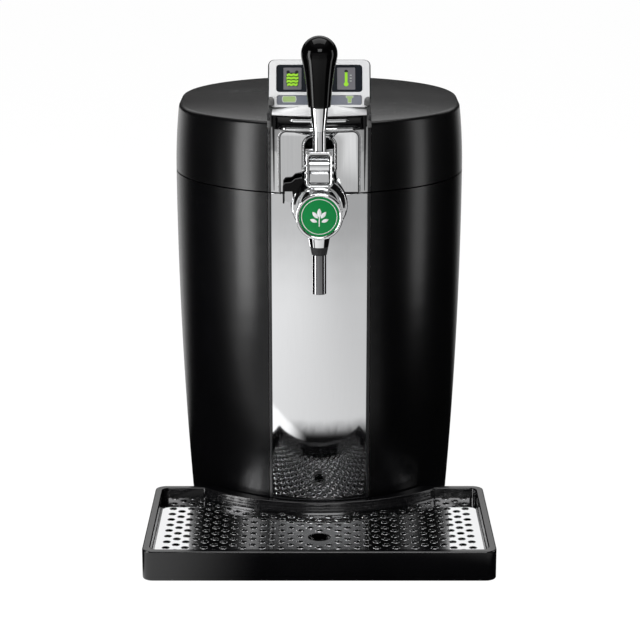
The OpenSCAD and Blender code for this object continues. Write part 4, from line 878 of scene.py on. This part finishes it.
def leaf(name, x, z, turn, length, width):
    """A leaf on the badge, pointed at both ends: half width = width * sin(pi t)^0.8, arched in depth."""
    t = np.linspace(0.0, 1.0, 17)
    s = np.linspace(-1.0, 1.0, 7)
    half = width * np.sin(np.pi * t) ** 0.8
    u = (t - 0.5) * length
    a = math.radians(turn)
    px = x + u[:, None] * math.cos(a) - half[:, None] * s * math.sin(a)
    pz = z + u[:, None] * math.sin(a) + half[:, None] * s * math.cos(a)
    lift = 0.3 * (1 - s ** 2) * np.sin(np.pi * t)[:, None]
    front = on_badge(px, pz, lift + 0.03)
    back = on_badge(px, pz, -0.2 + 0 * lift)
    mesh = grid_mesh(name, np.concatenate([front, back[::-1]]), wrap_rows=True)
    shade(mesh, math.radians(70))
    link_piece(name, mesh, "silver_paint", badge_body)


# Each leaf's middle, turn in degrees, length and half width.
LEAVES = [(0.0, 3.4, 90, 8.4, 1.9), (-3.6, 1.6, 128, 7.4, 1.7), (3.6, 1.6, 52, 7.4, 1.7),
          (-5.0, -3.4, 160, 6.6, 1.5), (5.0, -3.4, 20, 6.6, 1.5)]
for number, (x, z, turn, length, width) in enumerate(LEAVES):
    leaf("badge_leaf_%d" % number, x, z, turn, length, width)
stem_path = on_badge(0.0, np.linspace(-8.6, -0.6, 12), 0.0)
bar("badge_stem", stem_path, 0.4, 0.15, "silver_paint", badge_body, sides=8)

BEZEL_R = (bezel_high.x - bezel_low.x) / 2 / MM
BEZEL_DEEP = (bezel_high.y - bezel_low.y) / MM
BEZEL_LIP = (BADGE_Y - bezel_low.y) / MM
LIP_R = 1.6                           # the bezel's rounded rim
BEZEL_FOOT = 0.8                      # the slope of its rear corner
lip = arc(BEZEL_R - LIP_R, BEZEL_LIP - LIP_R, LIP_R, np.linspace(0.0, np.pi, 17))
bezel_back = BEZEL_LIP - BEZEL_DEEP
bezel_profile = np.concatenate([[(0.0, bezel_back), (BEZEL_R - BEZEL_FOOT, bezel_back),
                                 (BEZEL_R, bezel_back + BEZEL_FOOT)], lip,
                                [(BADGE_R + 0.1, -DISC_T - 0.1), (0.0, -DISC_T - 0.1)]])
turned("badge_bezel_look", bezel_profile, badge_centre, "chrome", badge_body, ("badge_bezel",), axis="Y")
print("badge radius %.1f mm, bezel %.1f mm" % (BADGE_R, BEZEL_R))

# %% [markdown]
# ## Lock ring and its lever
#
# The ring behind the badge is chrome, with a black crescent over its upper half. Its lever is a
# black lug that reaches out to the left and ends in a thin thumb edge, with a pale plate below it.

# %% Lock ring
lock_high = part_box("lock_ring")[1]
RING_R, RING_ROUND = lock_high.x / MM, 1.4
RING_T, RING_BORE = 7.0, 18.7
CRESCENT_R, CRESCENT_HALF = 22.2, 2.9
LUG = [(-13, 14), (-13, 25), (-15.5, 26.4), (-22, 25), (-25, 22), (-31, 21.4), (-33, 19), (-33, 3),
       (-31.4, 3), (-31.4, 14), (-24, 14), (-20, 12)]
THUMB_PLATE = [(-31.3, 14.4), (-24.4, 14.4), (-23.4, 9), (-24.6, 3.4), (-31.3, 4.6)]
ring_body, ring_slot = node_body("lock_ring"), slot_of["lock_ring"]
ring_centre = (0.0, lock_high.y, BADGE_Z)
front_edge = arc(RING_R - RING_ROUND, RING_T - RING_ROUND, RING_ROUND, np.radians(np.linspace(0.0, 90.0, 7)))
ring_profile = np.concatenate([[(RING_BORE, 0.0), (RING_R - 0.4, 0.0), (RING_R, 0.4)], front_edge,
                               [(RING_BORE, RING_T)]])
turned("lock_ring_look", ring_profile, ring_centre, ring_slot, ring_body, ("lock_ring",), axis="Y",
       look="chrome")
sweep_angle = np.radians(np.linspace(-4.0, 176.0, 61))
crescent = coords(CRESCENT_R * np.cos(sweep_angle) * MM, lock_high.y - (RING_T + 0.1) * MM,
                  BADGE_Z + CRESCENT_R * np.sin(sweep_angle) * MM)
crescent_half = CRESCENT_HALF * np.sqrt(np.sin(np.linspace(0.05, np.pi - 0.05, 61)))
bar("ring_crescent", crescent, crescent_half, 0.4, ring_slot, ring_body, look="grip_black")


def lug(name, outline, rear, front, look, bevel):
    """A flat outline (x, z) from the ring's middle, between two distances before its rear face."""
    x, z = np.array(outline).T * MM
    faces = [coords(x, lock_high.y - depth * MM, BADGE_Z + z) for depth in (rear, front)]
    mesh = grid_mesh(name, np.stack(faces), wrap_columns=True, cap_ends=True)
    shade(mesh)
    soften(link_piece(name, mesh, ring_slot, ring_body, look=look), bevel * MM)


lug("ring_lug", LUG, 4.5, 9.5, "grip_black", 0.5)
lug("ring_plate", THUMB_PLATE, 5.0, 7.5, "polished_steel", 0.3)
print("ring radius %.1f mm" % RING_R)

# %% [markdown]
# ## Fork details
#
# The fork's face has a rounded frame with a dark line inside it, three small bright beads down each
# side, and a rounded saddle under it that follows the badge's bezel. Behind the frame stands the
# steel block of the tap's body.

# %% Frame, beads and saddle
fork_low, fork_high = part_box("lever_fork")
pin_low, pin_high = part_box("lever_pin")
PIVOT = (pin_low.z + pin_high.z) / 2 / MM
FORK_FACE, FORK_X = fork_low.y / MM, fork_high.x / MM - 0.5
# Half width, low and high from the pin, and corner radius.
FORK_FRAME = (10.9, -17.7, 12.3, 3.9)
FORK_LINE = (9.2, -16.0, 10.4, 2.6)
TAP_BLOCK, TAP_BLOCK_DEEP = (8.3, -14.3, -6.6, 0.6), (2.4, 20.0)
BEAD_DROPS, BEAD_R, BEAD_HALF = (-1.0, 5.4, 11.0), 1.35, 0.9
SADDLE_R, SADDLE_SWEEP = 23.7, (62, 118)
lever_body = node_body("lever_fork")


def at_fork(half, low, high, corner, deep):
    """A rounded rectangle across the front, its heights from the pin, deep behind the fork's face."""
    outline = rounded(half, PIVOT + low, PIVOT + high, corner)
    return coords(outline[:, 0], FORK_FACE + deep, outline[:, 1]) * MM


bead_turn = np.linspace(-np.pi / 2, np.pi / 2, 13)
bead = coords(BEAD_R * np.cos(bead_turn), BEAD_HALF * np.sin(bead_turn))
for side_name, side in SIDES.items():
    for number, drop in enumerate(BEAD_DROPS):
        place = np.array([side * FORK_X, FORK_FACE - 0.1, PIVOT - drop]) * MM
        turned("fork_bead_%s_%d" % (side_name, number), bead, place, "chrome", lever_body, axis="Y", steps=32)
for side_name, side in SIDES.items():
    line = coords(side * (FORK_X + 0.4), FORK_FACE + 0.6, np.linspace(PIVOT - 15.0, PIVOT + 5.0, 12)) * MM
    bar("fork_side_" + side_name, line, 0.9, 0.9, "black_gloss", lever_body, sides=8)
bar("fork_frame", at_fork(*FORK_FRAME, 0.9), 1.0, 1.5, "chrome", lever_body, closed=True)
bar("fork_line", at_fork(*FORK_LINE, 0.45), 0.65, 0.5, "black_gloss", lever_body, closed=True, sides=8)

block_ends = np.stack([at_fork(*TAP_BLOCK, deep) for deep in TAP_BLOCK_DEEP])
block_mesh = grid_mesh("tap_block", block_ends, wrap_columns=True, cap_ends=True)
shade(block_mesh)
link_piece("tap_block", block_mesh, "chrome", node_body("tap_body"), look="polished_steel")

saddle_angle = np.radians(np.linspace(*SADDLE_SWEEP, 41))
saddle = coords(SADDLE_R * np.cos(saddle_angle), FORK_FACE + 1.6,
                BADGE_Z / MM + SADDLE_R * np.sin(saddle_angle)) * MM
saddle_half = 1.5 * np.clip(np.cos(np.linspace(-1.5, 1.5, 41)) * 2.2, 0.3, 1.0)
bar("fork_saddle", saddle, saddle_half, saddle_half, "chrome", lever_body)
print("pivot height %.1f mm" % PIVOT)

# %% [markdown]
# ## Drip tray details
#
# The tray's curved rear wall has three fine ribs. The grille's holes are pressed, so each has a low
# raised lip that catches a small crescent of light. The lips follow the same grid of holes as the
# model: every second place of a square grid that lies clear of the edges and the drain.

# %% Ribs and lips
GRILLE_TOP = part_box("drip_grille")[1].z
ARC_R, ARC_FRONT = 163.0, 136.3       # radius of the curved wall and its reach from the column's axis
HOLE_R, HOLE_DX, HOLE_DY, HOLE_Y0 = 3.0, 8.64, 7.43, -94.5
DRAIN_Y, DRAIN_CLEAR = -201.0, 14.7
GRILLE_HALF, GRILLE_END = 144.5, -252.5
RIB_HALF, RIB_HEIGHTS = 108.0, (20.6, 23.2, 25.8)
LIP_PROFILE = [(2.9, -0.6), (3.02, 0.2), (3.3, 0.3), (3.7, 0.01)]   # radius and height round a hole
tray_body, grille_body = node_body("drip_tray"), node_body("drip_grille")
rib_x = np.linspace(-RIB_HALF, RIB_HALF, 121)
rib_y = ARC_R - ARC_FRONT - np.sqrt(ARC_R ** 2 - rib_x ** 2) + AXIS_Y / MM
for number, height in enumerate(RIB_HEIGHTS):
    bar("tray_rib_%d" % number, coords(rib_x, rib_y, height) * MM, 0.7, 0.26, slot_of["drip_tray"], tray_body,
        sides=8, look="tray_black")


def hole_places():
    """(x, y) of the grille's holes from the column's axis, in millimetres."""
    i, j = np.meshgrid(np.arange(-17, 18), np.arange(23), indexing="ij")
    x, y = i * HOLE_DX, HOLE_Y0 - j * HOLE_DY
    keep = (i + j) % 2 == 0
    keep &= np.abs(x) < GRILLE_HALF
    keep &= y > GRILLE_END
    keep &= np.hypot(x, y - ARC_R + ARC_FRONT) > ARC_R + HOLE_R + 2.0
    keep &= np.hypot(x, y - DRAIN_Y) > DRAIN_CLEAR
    return x[keep], y[keep]


def hole_lips():
    """All lips in one mesh: a ring of the profile's four points round each hole."""
    x, y = hole_places()
    profile = np.array(LIP_PROFILE)
    a = whole_turn(16)
    ring = coords(profile[:, :1] * np.cos(a), profile[:, :1] * np.sin(a), profile[:, 1:])
    middle = coords(x, y + AXIS_Y / MM, GRILLE_TOP / MM)
    points = (middle[:, None, None, :] + ring[None]) * MM
    index = np.arange(points.size // 3).reshape(points.shape[:3])
    turn = np.roll(index, -1, axis=2)
    closing = np.roll(index, -1, axis=1), np.roll(turn, -1, axis=1)
    faces = np.stack([index, turn, closing[1], closing[0]], axis=-1).reshape(-1, 4)
    mesh = outward_mesh("grille_lips", points, faces.tolist())
    shade(mesh, math.radians(60))
    link_piece("grille_lips", mesh, slot_of["drip_grille"], grille_body, look="dull_chrome")
    return len(x)


print("lips:", hole_lips())

# %% [markdown]
# ## Display pictures and key marks
#
# The left tile shows how full the keg is as a small barrel with waves, and the right one a
# thermometer. The keys below carry a pale barrel and a pale tap. All are thin plaques that lie on
# the console's leaning face, whose outer edge is drawn with a thin dark line.

# %% The console's face
LEAN = math.radians(30)
FACE_Y = AXIS_Y - SEAM_R - 5 * MM
FACE_Z = RIM_Z + 16 * MM
FACE_HALF, FACE_HIGH, FACE_CORNER = 45.0, 45.0, 5.0
TILE_DEPTH, KEY_DEPTH = 0.7, 0.3      # how far the tiles and the keys lie behind the face
WINDOW_UP, KEY_UP = 27.4, 6.6         # heights up the face of the window's and the keys' middle
console_body = node_body("console_bezel")


def on_face(x, depth, up):
    """A point of the leaning face: up it by 'up', into it by 'depth' (millimetres)."""
    return coords(x, FACE_Y / MM + up * math.sin(LEAN) + depth * math.cos(LEAN),
                  FACE_Z / MM + up * math.cos(LEAN) - depth * math.sin(LEAN)) * MM


def plaque(name, outline, depth, thick, slot, body, look=None):
    """A flat outline (x, up) raised in front of a face at a depth: front, back and a wall."""
    outline = np.asarray(outline, float)
    front = on_face(outline[:, 0], depth - thick, outline[:, 1])
    back = on_face(outline[:, 0], depth + 0.05, outline[:, 1])
    mesh = grid_mesh(name, np.stack([front, back]), wrap_columns=True, cap_ends=True)
    link_piece(name, mesh, slot, body, look=look)


def tile_mark(name, outline, thick, look):
    """A plaque on a display tile."""
    plaque(name, outline, TILE_DEPTH, thick, "lcd", console_body, look)


def key_mark(name, button, outline, thick, look):
    """A plaque on a key, which moves with it."""
    plaque(name, outline, KEY_DEPTH, thick, "key_grey", node_body(button), look)


def disc_outline(x, up, r, steps=24):
    """A circle."""
    return arc(x, up, r, whole_turn(steps))


def barrel_outline(x, up, half, high, bulge, steps=12):
    """A barrel: straight top and bottom, sides that bulge by half a sine wave."""
    t = np.linspace(-1.0, 1.0, steps)
    side = coords(half + bulge * np.cos(t * np.pi / 2), t * high)
    return np.concatenate([side, -side]) + np.array([x, up])


def wave_outline(x, up, half, thick, swell, steps=33):
    """A wavy band: its middle follows a sine of 2.5 turns."""
    t = np.linspace(-1.0, 1.0, steps)
    middle = swell * np.sin(t * 2.5 * np.pi)
    top = coords(t * half, middle + thick / 2)
    return np.concatenate([top, (top - np.array([0.0, thick]))[::-1]]) + np.array([x, up])


EDGE_SPREAD = 1.006                   # the dark line stands a little outside the face's edge
face_edge = rounded(FACE_HALF, 0.0, FACE_HIGH, FACE_CORNER) * EDGE_SPREAD
bar("bezel_line", on_face(face_edge[:, 0], 2.0, face_edge[:, 1]), 0.8, 0.8, "black_trim", console_body,
    closed=True, sides=8, look="icon_dark")
print("line round the face: %d points" % len(face_edge))

# %% Marks on the tiles and keys
KEG_X, KEG_UP = -24.1, WINDOW_UP - 0.9
KEG_WAVES = [(-4.9, 4.7), (-1.8, 5.3), (1.3, 5.4), (4.4, 5.1)]      # height and half length of each wave
tile_mark("keg_shadow", barrel_outline(KEG_X, KEG_UP, 4.9, 6.5, 0.9), 0.06, "icon_dark")
for number, side in enumerate([-1, 1]):
    tile_mark("keg_lug_%d" % number, disc_outline(KEG_X + side * 3.9, KEG_UP + 7.2, 1.5), 0.05, "icon_dark")
for number, (up, half) in enumerate(KEG_WAVES):
    tile_mark("keg_wave_%d" % number, wave_outline(KEG_X, KEG_UP + up, half, 2.2, 0.35), 0.12, "icon_lime")

HEAT_X = 24.1
STEM_HALF, BULB_R = 1.2, 2.1
BULB_UP, STEM_TOP = WINDOW_UP - 5.4, WINDOW_UP + 6.0
stem = [(HEAT_X - STEM_HALF, BULB_UP), (HEAT_X + STEM_HALF, BULB_UP), (HEAT_X + STEM_HALF, STEM_TOP),
        (HEAT_X - STEM_HALF, STEM_TOP)]
tile_mark("heat_stem", stem, 0.12, "icon_lime")
tile_mark("heat_bulb", disc_outline(HEAT_X, BULB_UP, BULB_R), 0.14, "icon_lime")
tile_mark("heat_cap", disc_outline(HEAT_X, STEM_TOP + 0.9, 1.6), 0.1, "icon_dark")
TICK = np.array([(3.2, -0.3), (5.0, -0.3), (5.0, 0.3), (3.2, 0.3)])
for number, up in enumerate([-2.4, 0.4, 3.2]):
    tile_mark("heat_tick_%d" % number, TICK + np.array([HEAT_X, WINDOW_UP + up]), 0.1, "icon_pale")

KEG_KEY, TAP_KEY = np.array([-26.9, KEY_UP + 0.9]), np.array([27.1, KEY_UP + 0.7])
TAP_MARK = np.array([(-3.0, 3.2), (3.0, 3.2), (3.0, 1.6), (1.5, 0.6), (1.5, -3.2), (-1.5, -3.2), (-1.5, 0.6),
                     (-3.0, 1.6)])
key_mark("key_keg_edge", "level_button", barrel_outline(*KEG_KEY, 5.6, 3.1, 0.9), 0.06, "icon_pale")
key_mark("key_keg", "level_button", barrel_outline(*KEG_KEY, 5.0, 2.6, 0.8), 0.12, "icon_leaf")
key_mark("key_tap_edge", "temperature_button", TAP_MARK * 1.14 + TAP_KEY, 0.06, "icon_pale")
key_mark("key_tap", "temperature_button", TAP_MARK * 0.94 + TAP_KEY, 0.12, "icon_leaf")

# %% [markdown]
# ## Finish

# %% Finish
print("finished")
